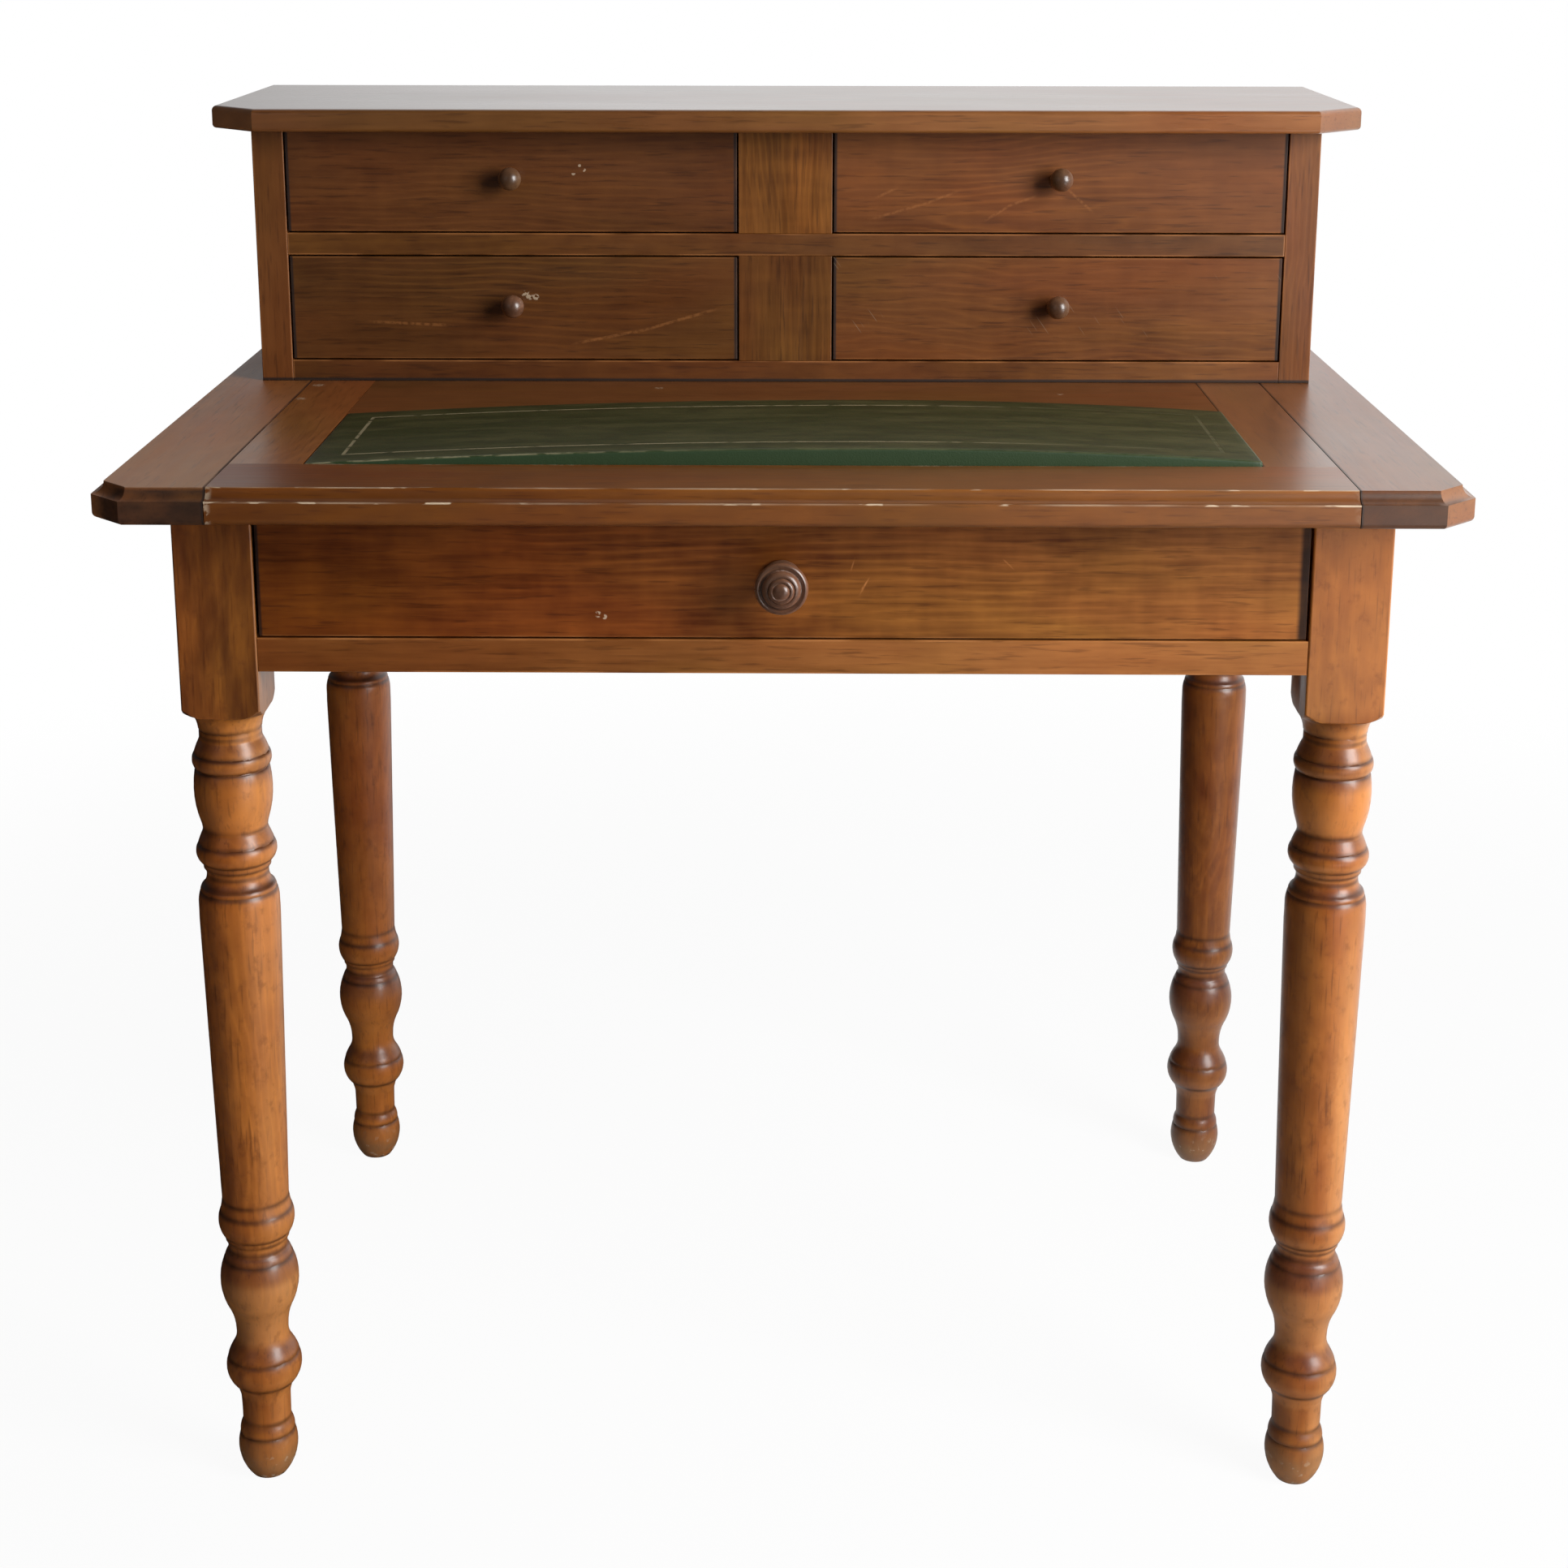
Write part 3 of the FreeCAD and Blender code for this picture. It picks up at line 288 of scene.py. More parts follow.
def stained_wood(name, grain, dark, light, heart=(0.0, 0.0), lean=0.0, figure=0.14, streak=0.35,
                 mottle=0.5, curl=0.0, gloss=0.42, coat=0.06, shine=0.5, level=1.0, ends=None,
                 marks=()):
    """Stained and waxed wood: soft growth rings round a heart line along the grain, streaks and
    fine fibre, darker end grain, a tint from the left of the desk to its right that partly paints
    the light falling off to the left and partly gives a board its own tone, and marks of use and of
    painted light and shade, each a function that gives a mask, a colour and how much it dulls the
    polish. The coat is one weight, or one at the left and one at the right."""
    wood = bpy.context.scene.desk_wood
    material, finish = new_material(name)
    axes = finish.axes()
    along, across, over = (axes[index] for index in GRAIN_AXES[grain])
    seed = sum(ord(letter) for letter in name) % 97

    def field(label):
        length_scale, width_scale, seeded_along, detail, roughness = WOOD_FIELDS[label]
        run, side = along * length_scale, across * width_scale
        run, side = (run + seed, side) if seeded_along else (run, side + seed)
        return finish.noise(finish.vector(run, side, over * width_scale), detail, roughness)

    bow = (field("wander") - 0.5) * 0.09
    ringed = finish.vector(along * 0.05 + seed, across - heart[0] + along * lean + bow,
                           over - heart[1] + bow)
    rings = finish.node(
        "ShaderNodeTexWave",
        {"wave_type": "RINGS", "rings_direction": "X", "wave_profile": "SIN"},
        {"Vector": ringed, "Scale": math.tau / (20 * wood.ring), "Distortion": 3.0,
         "Detail": 3.0, "Detail Scale": 0.5, "Detail Roughness": 0.65}, output="Fac")
    fibre, flecks, cloud, hue = (field(label) for label in ("fibre", "flecks", "cloud", "hue"))
    tone = (0.5 + (rings ** 3 - 0.3) * field("shown").ramp(0.35, 0.65) * figure
            + (field("broad") - 0.5) * streak + (fibre - 0.5) * streak * 0.9
            + (cloud - 0.5) * mottle + (field("blotch") - 0.5) * mottle * 0.8)
    if curl:
        tone = tone + (field("ripple") - 0.5) * curl
    shade = finish.mix(tone, opaque(dark, level), opaque(light, level))
    shade = finish.mix(hue.ramp(0.48, 0.68) * 0.8, shade, RED_CAST, "MULTIPLY")
    shade = finish.mix(hue.ramp(0.50, 0.34) * 0.8, shade, GREEN_CAST, "MULTIPLY")
    shade = finish.mix(flecks.ramp(0.56, 0.72) * 0.45, shade, opaque(dark, 0.5 * level))
    # Painted fall of light: mostly darker at the left of the desk, paler and bluer at its right
    if ends:
        tint = finish.mix(rightward(axes), opaque(ends[0]), opaque(ends[1]))
        shade = finish.mix(1.0, shade, tint, "MULTIPLY")
    end_grain = abs(finish.facing()[GRAIN_AXES[grain][0]]) ** 3
    shade = finish.mix(end_grain * 0.72, shade, opaque(dark, 0.55))
    rough = gloss + (fibre - 0.5) * 0.12 + (cloud - 0.5) * 0.16
    for mark in marks:
        mask, tint, dulled = mark(finish, axes)
        shade = finish.mix(mask, shade, tint)
        rough = rough + mask * dulled
    bump = finish.node("ShaderNodeBump", inputs={
        "Strength": 0.16, "Distance": 0.0004, "Height": fibre + flecks * 0.6})
    if isinstance(coat, tuple):
        coat = coat[0] + rightward(axes) * (coat[1] - coat[0])
    close_material(finish, {
        "Base Color": shade, "Roughness": rough, "Normal": bump, "Specular IOR Level": shine,
        "Coat Weight": coat, "Coat Roughness": COAT_ROUGHNESS})
    return material


def inner_wood(name, grain, heart=(0.0, 0.0)):
    """Unstained wood of the hidden boards."""
    wood = bpy.context.scene.desk_wood
    return stained_wood(name, grain, wood.inner_dark, wood.inner_light, heart=heart, gloss=INNER_GLOSS)


def band_round(value, centre, half, soft):
    """1 where a value lies within half of a centre, easing to 0 over soft."""
    return 1 - abs(value - centre).ramp(half, half + soft)


def patches(finish, axes, across, up, detail=3.0):
    """Soft patches from 0 to 1, so fine across and up."""
    x, y, z = axes
    return finish.noise(finish.vector(x * across, y * across, z * up), detail).ramp(0.3, 0.7)


def turned_part(axes):
    """1 on the turned part of a leg, 0 on its square block."""
    return 1 - axes[2].ramp(BLOCK_FOOT - 0.011, BLOCK_FOOT - 0.001)


def worn_arris(node, strength):
    """The front arrises of a board rubbed lighter."""
    low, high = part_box(node)

    def mark(finish, axes):
        x, y, z = axes
        side = (x - low.x).lower(high.x - x)
        level = (z - low.z).lower(high.z - z)
        rubbed = finish.noise(finish.vector(x * 22, z * 22, y), detail=2.0).ramp(0.36, 0.62)
        mask = (1 - side.lower(level).ramp(0.0004, 0.0016)) * (1 - (y - low.y).ramp(0.0008, 0.0016))
        return mask * rubbed * strength, opaque(bpy.context.scene.desk_wood.rubbed), 0.1
    return mark


def specks(amount, scale=26.0, seed=0.0):
    """Small pale nicks scattered over a face."""
    def mark(finish, axes):
        x, y, z = axes
        place = finish.vector(x + seed, y, z)
        dots = {"Vector": place, "Scale": scale, "Randomness": 1.0}
        nearest = finish.node("ShaderNodeTexVoronoi", inputs=dots, output="Distance")
        cell = finish.node("ShaderNodeTexVoronoi", inputs=dots, output="Color")
        pick = finish.node("ShaderNodeSeparateColor", inputs={0: cell}, output=0)
        mask = (1 - nearest.ramp(0.02, 0.045)) * pick.ramp(0.86, 0.9)
        return mask * amount, opaque(bpy.context.scene.desk_wood.bare, 0.75), 0.2
    return mark


SCRATCH_LEAN = 1.4


def scratches(amount):
    """Short slanting pale scratches."""
    def mark(finish, axes):
        x, y, z = axes
        side = x + y
        run = finish.vector((z + side * SCRATCH_LEAN) * 700, (side - z * SCRATCH_LEAN) * 22, 0.0)
        line = finish.noise(run, detail=0.0).ramp(0.79, 0.83)
        patch = finish.noise(finish.vector(x * 11, y * 11, z * 11), detail=0.0).ramp(0.58, 0.66)
        return line * patch * amount, opaque(bpy.context.scene.desk_wood.bare, 0.7), 0.15
    return mark


def lines(amount, width, *runs):
    """Thin pale lines on an upright front, each from one place to another across and up."""
    def mark(finish, axes):
        x, y, z = axes
        rough = finish.noise(finish.vector(x * 300, 0.0, z * 300), detail=2.0)
        mask = 0.0
        for start, end in runs:
            along = Vector(end) - Vector(start)
            reach = along.length
            along.normalize()
            run = (x - start[0]) * along.x + (z - start[1]) * along.y
            off = (x - start[0]) * along.y - (z - start[1]) * along.x
            inside = run.ramp(0.0, reach * 0.3) * (1 - run.ramp(reach * 0.7, reach))
            mask = (1 - abs(off).ramp(width * 0.3, width)) * inside * rough.ramp(0.30, 0.60) + mask
        return mask * amount, opaque(bpy.context.scene.desk_wood.rubbed, 1.3), 0.1
    return mark


def gap_shade_ends(node, left=0.0026, right=0.0026):
    """Painted shade on a drawer front beside the gaps at its ends, for the dark of each gap and
    its shadow, with a width for each end.
    """
    low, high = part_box(node)

    def mark(finish, axes):
        x, y, z = axes
        uneven = finish.noise(finish.vector(x * 30, y, z * 30), detail=2.0).ramp(0.2, 0.6)
        at_left = 1 - (x - low.x).ramp(left * 0.6, left * 1.2)
        at_right = 1 - (high.x - x).ramp(right * 0.6, right * 1.2)
        front = (0 - finish.facing()[1]).ramp(0.3, 0.7)
        mask = at_left.higher(at_right) * front * (0.75 + uneven * 0.2)
        return mask, opaque(linear(24, 8, 2)), 0.3
    return mark


def grimed_front(node, tint, amount):
    """Handled and darkened front edge of a board, but for a cant on its right."""
    low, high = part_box(node)

    def mark(finish, axes):
        x, y, z = axes
        uneven = finish.noise(finish.vector(x * 40, y * 40, z * 90), detail=3.0).ramp(0.2, 0.7)
        mask = (1 - (y - low.y).ramp(0.010, 0.022)) * (1 - (z - high.z).ramp(-0.003, -0.0005))
        mask = mask * (1 - finish.facing()[0].ramp(0.2, 0.5) * 0.9)
        return mask * amount * (0.6 + uneven * 0.4), opaque(linear(*tint)), 0.1
    return mark


def front_sheen(node, amount):
    """Painted sheen on a board: paler and greyer towards its front."""
    low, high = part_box(node)

    def mark(finish, axes):
        x, y, z = axes
        uneven = finish.noise(finish.vector(x * 60, y * 9, z), detail=3.0).ramp(0.2, 0.8)
        mask = (1 - (y - low.y).ramp(0.05, 0.42)) * (z - high.z).ramp(-0.001, -0.0002)
        return mask * amount * (0.7 + uneven * 0.6), opaque(linear(196, 162, 134)), 0.05
    return mark


def joint_line(node):
    """Dirt in the joint along the inner edge of a board of the top."""
    low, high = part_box(node)
    edge = high.x if high.x < 0 else low.x

    def mark(finish, axes):
        near = 1 - abs(axes[0] - edge).ramp(0.0005, 0.0017)
        patch = finish.noise(finish.vector(axes[0], axes[1] * 20, axes[2]), detail=2.0).ramp(0.2, 0.6)
        return near * (0.45 + patch * 0.45), opaque(linear(38, 18, 8)), 0.2
    return mark


def underside_light(strength):
    """Painted light from below on a turned leg: paler where its faces look down, under its swellings.
    """
    def mark(finish, axes):
        under = (0 - finish.facing()[2]).ramp(0.0, 0.30) * turned_part(axes)
        mask = under * strength * (0.6 + patches(finish, axes, 14, 10, 2.0) * 0.4)
        return mask, opaque(linear(216, 142, 74)), 0.0
    return mark


BELT_SOFT = 0.010


def light_and_shade_belt(low, high, strength, *tint):
    """A belt of a leg between two levels, painted paler than the rest as painted light
    or darker as painted shade.
    """
    def mark(finish, axes):
        belt = axes[2].ramp(low, low + BELT_SOFT) * (1 - axes[2].ramp(high - BELT_SOFT, high))
        mask = belt * strength * (0.6 + patches(finish, axes, 20, 14, 2.0) * 0.4)
        return mask, opaque(linear(*tint)), 0.0
    return mark


def shaded_shoulders(finish, axes):
    """Painted shade on the shoulders of a turned leg, where its faces look up."""
    shoulder = finish.facing()[2].ramp(0.04, 0.60) * turned_part(axes)
    mask = shoulder * (0.40 + patches(finish, axes, 50, 70) * 0.35)
    return mask, opaque(linear(86, 44, 32)), 0.0


def window_side_light(strength):
    """Painted light on the window side of a leg, paler where its faces look to the right."""
    def mark(finish, axes):
        side = finish.facing()[0].ramp(0.05, 0.75)
        mask = side * strength * (0.7 + patches(finish, axes, 30, 9) * 0.6)
        return mask, opaque(linear(236, 168, 106)), 0.0
    return mark


def dented(finish, axes):
    """Small dark dents and pores over a turned leg."""
    x, y, z = axes
    dent = finish.noise(finish.vector(x * 130, y * 130, z * 90), detail=4.0, roughness=0.6)
    return dent.ramp(0.52, 0.72) * 0.36, opaque(linear(92, 42, 10)), 0.1


def paler_left_faces(strength):
    """The faces of a board that look to the left, made paler."""
    def mark(finish, axes):
        left = (0 - finish.facing()[0]).ramp(0.15, 0.6)
        mask = left * strength * (0.7 + patches(finish, axes, 30, 60) * 0.3)
        return mask, opaque(linear(196, 128, 76)), 0.1
    return mark


def contact_shade_line(node):
    """A dark line of painted shade along the bottom edge of a board, where it meets the table top."""
    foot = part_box(node)[0].z

    def mark(finish, axes):
        return (1 - (axes[2] - foot).ramp(0.0016, 0.0032)) * 0.92, opaque(linear(22, 9, 3)), 0.3
    return mark


def dusty_joint(finish, axes):
    """Pale wax and dust along the joint in front of the leather."""
    x, y, z = axes
    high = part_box("slide_front_rail")[1]
    near = 1 - (high.y - y).ramp(0.0006, 0.0030)
    patch = finish.noise(finish.vector(x * 16, 0.0, 0.0), detail=3.0).ramp(0.42, 0.66)
    grain = finish.noise(finish.vector(x * 240, y * 500, 0.0), detail=2.0).ramp(0.35, 0.65)
    top = (z - high.z).ramp(-0.0006, -0.0002)
    return near * patch * grain * top * 0.55, opaque(bpy.context.scene.desk_wood.bare, 0.8), 0.2


# Where the hollow moulding of the slide's front ends, down from its top and back from its face
HOLLOW_FALL = 0.0081
HOLLOW_DEPTH = 0.0082


def chipped_edge(finish, axes):
    """Chips and rubbing along the hollow moulding of the slide's front."""
    x, y, z = axes
    low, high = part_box("slide_front_rail")
    front = 1 - (y - low.y).ramp(0.0006, 0.0012)
    top = (z - high.z).ramp(-0.0008, -0.0003)
    lower_line = band_round(z, high.z - HOLLOW_FALL, 0.0005, 0.0008) * front
    upper_line = band_round(y, low.y + HOLLOW_DEPTH, 0.0005, 0.0008) * top
    dash = finish.noise(finish.vector(x * 46, y * 160, z * 160), detail=2.0).ramp(0.56, 0.62)
    spell = finish.noise(finish.vector(x * 6.5 + 3.1, 0.0, 0.0), detail=1.0).ramp(0.42, 0.56)
    thin = finish.noise(finish.vector(x * 12 + 9, 0.0, 0.0), detail=2.0).ramp(0.40, 0.62)
    mask = (lower_line * (dash * spell).higher(thin * 0.30)
            + upper_line * (dash * 0.7).higher(thin * 0.5))
    return mask.lower(0.78), opaque(bpy.context.scene.desk_wood.bare), 0.25


def rubbed_joint(finish, axes):
    """Broken corners where the slide's front meets the wings."""
    x, y, z = axes
    low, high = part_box("slide_front_rail")
    end = (x - low.x).lower(high.x - x)
    left = 1 - (x - low.x).ramp(0.02, 0.05) * 0.8
    crumble = finish.noise(finish.vector(x * 210, y * 210, z * 210), detail=2.0).ramp(0.47, 0.58)
    mask = (1 - end.ramp(0.001, 0.005)) * crumble * (1 - (y - low.y).ramp(0.006, 0.02)) * left
    return mask * 0.45, opaque(bpy.context.scene.desk_wood.bare, 0.85), 0.25


# Hollows of a turned leg as shares of the height of its block's foot, a list for each half
WAX_LOWER = (0.0585, 0.0770, 0.1290, 0.1655, 0.2992, 0.3130, 0.3250, 0.3315, 0.3628, 0.3785)
WAX_UPPER = (0.7788, 0.7865, 0.7995, 0.8085, 0.8153, 0.8390, 0.8570, 0.9305, 0.9492, 0.9720, 0.9787)
# How far the stain reaches from a hollow, as a share of a half
WAX_REACH = 0.010


def old_wax(finish, axes):
    """Stain gathered in the hollows of a turned leg, by height."""
    x, y, z = axes
    level = z * (1 / BLOCK_FOOT)
    stain = 0.0
    for start, hollows in ((0.0, WAX_LOWER), (0.5, WAX_UPPER)):
        places = [(hollow - start) * 2 for hollow in hollows]
        stops = [(0.0, 0.0), (places[0] - WAX_REACH, 0.0), (places[0], 1.0)]
        for before, place in zip(places, places[1:]):
            if place - before > 2 * WAX_REACH:
                stops += [(before + WAX_REACH, 0.0), (place - WAX_REACH, 0.0)]
            else:
                stops.append(((before + place) / 2, 0.0))
            stops.append((place, 1.0))
        stops.append((places[-1] + WAX_REACH, 0.0))
        band = finish.node("ShaderNodeValToRGB", {"stops": stops}, {"Fac": (level - start) * 2},
                           output="Color")
        stain = stain + finish.node("ShaderNodeSeparateColor", inputs={0: band}, output=0)
    uneven = finish.noise(finish.vector(x * 40, y * 40, z * 60)).ramp(0.1, 0.6)
    turned = 1 - level.ramp(0.995, 1.0)
    wax = opaque(bpy.context.scene.desk_wood.wax)
    return (stain * uneven * turned * 0.8).lower(1.0), wax, 0.1


def shaded_block(amount):
    """Painted shade on the square block of a leg, darker than its turnings."""
    def mark(finish, axes):
        x, y, z = axes
        block = z.ramp(BLOCK_FOOT - 0.001, BLOCK_FOOT + 0.002)
        patch = finish.noise(finish.vector(x * 9, y * 9, z * 5), detail=2.0)
        streak = finish.noise(finish.vector(x * 110, y * 110, z * 18), detail=3.0)
        mask = block * (amount + (patch - 0.5) * 0.5 + (streak - 0.5) * 1.2)
        return mask, opaque(linear(66, 22, 0)), 0.05
    return mark


def chips(*places):
    """Small pale chips, each at a place with a radius."""
    def mark(finish, axes):
        rough = finish.noise(finish.vector(*(axis * 420 for axis in axes)), detail=2.0)
        mask = 0.0
        for place, radius in places:
            gaps = [(axis - value) ** 2 for axis, value in zip(axes, place)]
            reach = (gaps[0] + gaps[1] + gaps[2]) ** 0.5
            mask = (1 - reach.ramp(radius * 0.45, radius)) * rough.ramp(0.44, 0.56) + mask
        return mask.lower(0.5), opaque(bpy.context.scene.desk_wood.bare), 0.25
    return mark


def scuffed_foot(finish, axes):
    """Bare nicks on the bulb of the foot."""
    low = 1 - axes[2].ramp(0.006, 0.035)
    nick = finish.noise(finish.vector(*(axis * 160 for axis in axes)), detail=3.0)
    return nick.ramp(0.60, 0.66) * low * 0.55, opaque(bpy.context.scene.desk_wood.bare, 0.7), 0.3


def dull_foot(finish, axes):
    """Floor dirt that greys the foot."""
    low = 1 - axes[2].ramp(0.012, 0.040)
    mask = low * (0.30 + patches(finish, axes, 60, 60) * 0.40)
    return mask, opaque(linear(140, 106, 70)), 0.2


def dress(material, *nodes):
    """Give CAD nodes a material."""
    for name in nodes:
        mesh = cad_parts[name].data
        mesh.materials.clear()
        mesh.materials.append(material)


MERGE_REACH = 0.00001


def smooth_copy(node, body, material, angle):
    """A merged, smoothly shaded copy of a CAD node that stands in its place."""
    bpy.ops.object.select_all(action="DESELECT")
    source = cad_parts[node]
    piece = bpy.data.objects.new(node + "_turned", source.data.copy())
    bpy.context.scene.collection.objects.link(piece)
    bpy.context.view_layer.objects.active = piece
    piece.select_set(True)
    bpy.ops.object.mode_set(mode="EDIT")
    bpy.ops.mesh.select_all(action="SELECT")
    bpy.ops.mesh.remove_doubles(threshold=MERGE_REACH)
    bpy.ops.object.mode_set(mode="OBJECT")
    bpy.ops.object.shade_smooth_by_angle(angle=math.radians(angle))
    even = piece.modifiers.new("even_shading", "WEIGHTED_NORMAL")
    even.keep_sharp = True
    bpy.ops.object.modifier_apply(modifier=even.name)
    piece.data.materials.clear()
    piece.data.materials.append(material)
    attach(piece, body)
    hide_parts(node)


# Pieces

class DESK_OT_upper_case(Operator):
    """Stain the boards of the upper case"""
    bl_idname = "desk.upper_case"
    bl_label = "Upper case"

    def execute(self, context):
        wood = context.scene.desk_wood
        dark, light = wood.case_dark, wood.case_light
        for side, heart in (("left", -0.30), ("right", 0.28)):
            node = "case_side_" + side
            dress(stained_wood(node + "_wood", "Z", dark, light, heart=(heart, 0.02),
                               marks=(worn_arris(node, 0.4), contact_shade_line(node), specks(0.25))), node)
        looks = {
            "case_bottom": (((0.56, 0.50, 0.40), (0.95, 0.92, 0.95)), (contact_shade_line("case_bottom"),)),
            "case_shelf": (((0.86, 0.86, 0.74), (0.76, 0.90, 1.10)), ()),
        }
        for node, (ends, marks) in looks.items():
            dress(stained_wood(node + "_wood", "X", dark, light, heart=(0.16, 0.72), lean=0.03,
                               mottle=1.1, ends=ends, marks=(worn_arris(node, 0.6),) + marks), node)
        for node, level in (("centre_panel_lower", 0.62), ("centre_panel_upper", 1.0)):
            dress(stained_wood(node + "_wood", "Z", wood.panel_dark, wood.panel_light,
                               heart=(-0.09, 0.04), figure=0.3, streak=0.9, curl=0.6,
                               level=level), node)
        dress(stained_wood("case_top_wood", "X", wood.top_dark, wood.top_light, heart=(0.12, 0.85),
                           lean=0.04, gloss=0.30, coat=0.9,
                           ends=((0.62, 0.62, 0.62), (1.05, 1.12, 1.15)),
                           marks=(specks(0.3, 14.0), paler_left_faces(0.8))), "case_top")
        dress(stained_wood("case_back_wood", "X", dark, light, heart=(0.2, 0.7), gloss=0.55),
              "case_back")
        dress(inner_wood("divider_wood", "Z", (0.1, 0.1)), "dividers_lower", "dividers_upper")
        return {"FINISHED"}


class DESK_OT_table(Operator):
    """Stain the table frame, its rails and the fixed parts of the top"""
    bl_idname = "desk.table"
    bl_label = "Table"

    def execute(self, context):
        wood = context.scene.desk_wood
        dark, light = wood.rail_dark, wood.rail_light
        dress(stained_wood("front_rail_wood", "X", dark, light, heart=(-0.20, 0.55), lean=0.02,
                           streak=0.7, shine=0.3, ends=((0.62, 0.55, 0.40), (1.04, 1.1, 1.35)),
                           marks=(worn_arris("front_rail", 0.8), specks(0.3))), "front_rail")
        for node, grain in (("apron_left", "Y"), ("apron_right", "Y"), ("apron_back", "X")):
            dress(stained_wood(node + "_wood", grain, dark, light, heart=(0.25, 0.58), lean=0.02,
                               marks=(specks(0.3),)), node)
        looks = {
            "wing_left": (-0.36, 0.0, 0.50, 1.45, (20, 8, 2), 0.85, (front_sheen("wing_left", 0.40),)),
            "wing_right": (0.47, 0.65, 0.36, 1.05, (58, 38, 26), 0.7, ()),
        }
        for node, (heart, coat, gloss, level, tint, amount, marks) in looks.items():
            dress(stained_wood(node + "_wood", "Y", wood.top_dark, wood.top_light, heart=(heart, 0.64),
                               lean=0.02, gloss=gloss, coat=coat, level=level,
                               marks=(specks(0.3, 18.0), *marks, joint_line(node),
                                      grimed_front(node, tint, amount))), node)
        dress(stained_wood("rear_strip_wood", "X", wood.top_dark, wood.top_light, heart=(0.2, 0.7),
                           gloss=0.32), "top_rear_strip")
        dress(inner_wood("inner_rail_wood", "X", (0.0, 0.5)), "upper_rail", "drawer_stops")
        dress(inner_wood("inner_runner_wood", "Y", (0.1, 0.5)),
              "runner_left", "runner_right", "bearer_left", "bearer_right")
        return {"FINISHED"}


class DESK_OT_legs(Operator):
    """Set the four turned legs, smooth and waxed"""
    bl_idname = "desk.legs"
    bl_label = "Turned legs"

    def execute(self, context):
        wood = context.scene.desk_wood
        # Each leg's level, painted shade and painted light on its block, painted light on its turnings
        # and lower belly, and painted light on its window side
        looks = {
            "leg_front_left": (0.92, 0.60, 0.0, 0.12, 0.35, 0.15),
            "leg_front_right": (0.73, -0.12, 0.13, 0.32, 0.22, 0.33),
            "leg_rear_left": (1.02, 0.3, 0.0, 0.15, 0.0, 0.0),
            "leg_rear_right": (0.53, 0.3, 0.0, 0.15, 0.0, 0.0),
        }
        for node, (level, block_shade, block_light, turning_light, rubbed, window_light) in looks.items():
            low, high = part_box(node)
            middle = (low + high) / 2
            # Painted light on the block and the upper and lower bellies, painted shade on the vase
            # shoulders
            belts = (light_and_shade_belt(0.588, 0.760, block_light, 222, 150, 88),
                     light_and_shade_belt(0.502, 0.544, turning_light, 232, 144, 64),
                     light_and_shade_belt(0.533, 0.558, 0.40, 104, 58, 44),
                     light_and_shade_belt(0.104, 0.168, rubbed, 212, 154, 96),
                     light_and_shade_belt(0.157, 0.190, 0.45, 100, 56, 42))
            marks = (shaded_block(block_shade), window_side_light(window_light), underside_light(turning_light), *belts,
                     shaded_shoulders, old_wax, dented, dull_foot, scuffed_foot, specks(0.3))
            material = stained_wood(node + "_wood", "Z", wood.leg_dark, wood.leg_light,
                                    heart=(middle.x + 0.03, middle.y + 0.05), lean=0.01,
                                    figure=0.15, streak=0.32, mottle=0.9, gloss=0.42, coat=0.65,
                                    shine=0.25, level=level, marks=marks)
            smooth_copy(node, "desk", material, 28)
        return {"FINISHED"}


class DESK_OT_writing_slide(Operator):
    """Stain the boards of the writing slide, with chips along its moulded front"""
    bl_idname = "desk.writing_slide"
    bl_label = "Writing slide"

    def execute(self, context):
        wood = context.scene.desk_wood
        dark, light = wood.top_dark, wood.top_light
        dress(stained_wood("slide_front_wood", "X", wood.frieze_dark, wood.frieze_light,
                           heart=(-0.4, 0.8), lean=0.01, gloss=0.40, coat=(0.06, 1.0), shine=0.3,
                           ends=((0.90, 0.80, 0.40), (1.32, 1.42, 1.60)),
                           marks=(grimed_front("slide_front_rail", (80, 44, 26), 0.42), dusty_joint,
                                  chipped_edge, rubbed_joint, specks(0.4, 18.0))),
              "slide_front_rail")
        looks = {
            "slide_end_left": (-0.35, 0.02, 1.3, (chips(*END_CHIPS), specks(0.4, 18.0))),
            "slide_end_right": (0.36, 1.0, 1.05, (joint_line("slide_end_right"), specks(0.4, 18.0),
                                                  scratches(0.3))),
        }
        for node, (heart, coat, level, marks) in looks.items():
            dress(stained_wood(node + "_wood", "Y", dark, light, heart=(heart, 0.68), gloss=0.36,
                               coat=coat, level=level, marks=marks), node)
        dress(stained_wood("slide_panel_wood", "X", dark, light, heart=(0.1, 0.62), lean=0.02,
                           gloss=0.40, level=0.85,
                           marks=(chips(*SLIDE_CHIPS), specks(0.5, 14.0))), "slide_panel")
        dress(inner_wood("slide_stop_wood", "X"), "slide_stop")
        return {"FINISHED"}


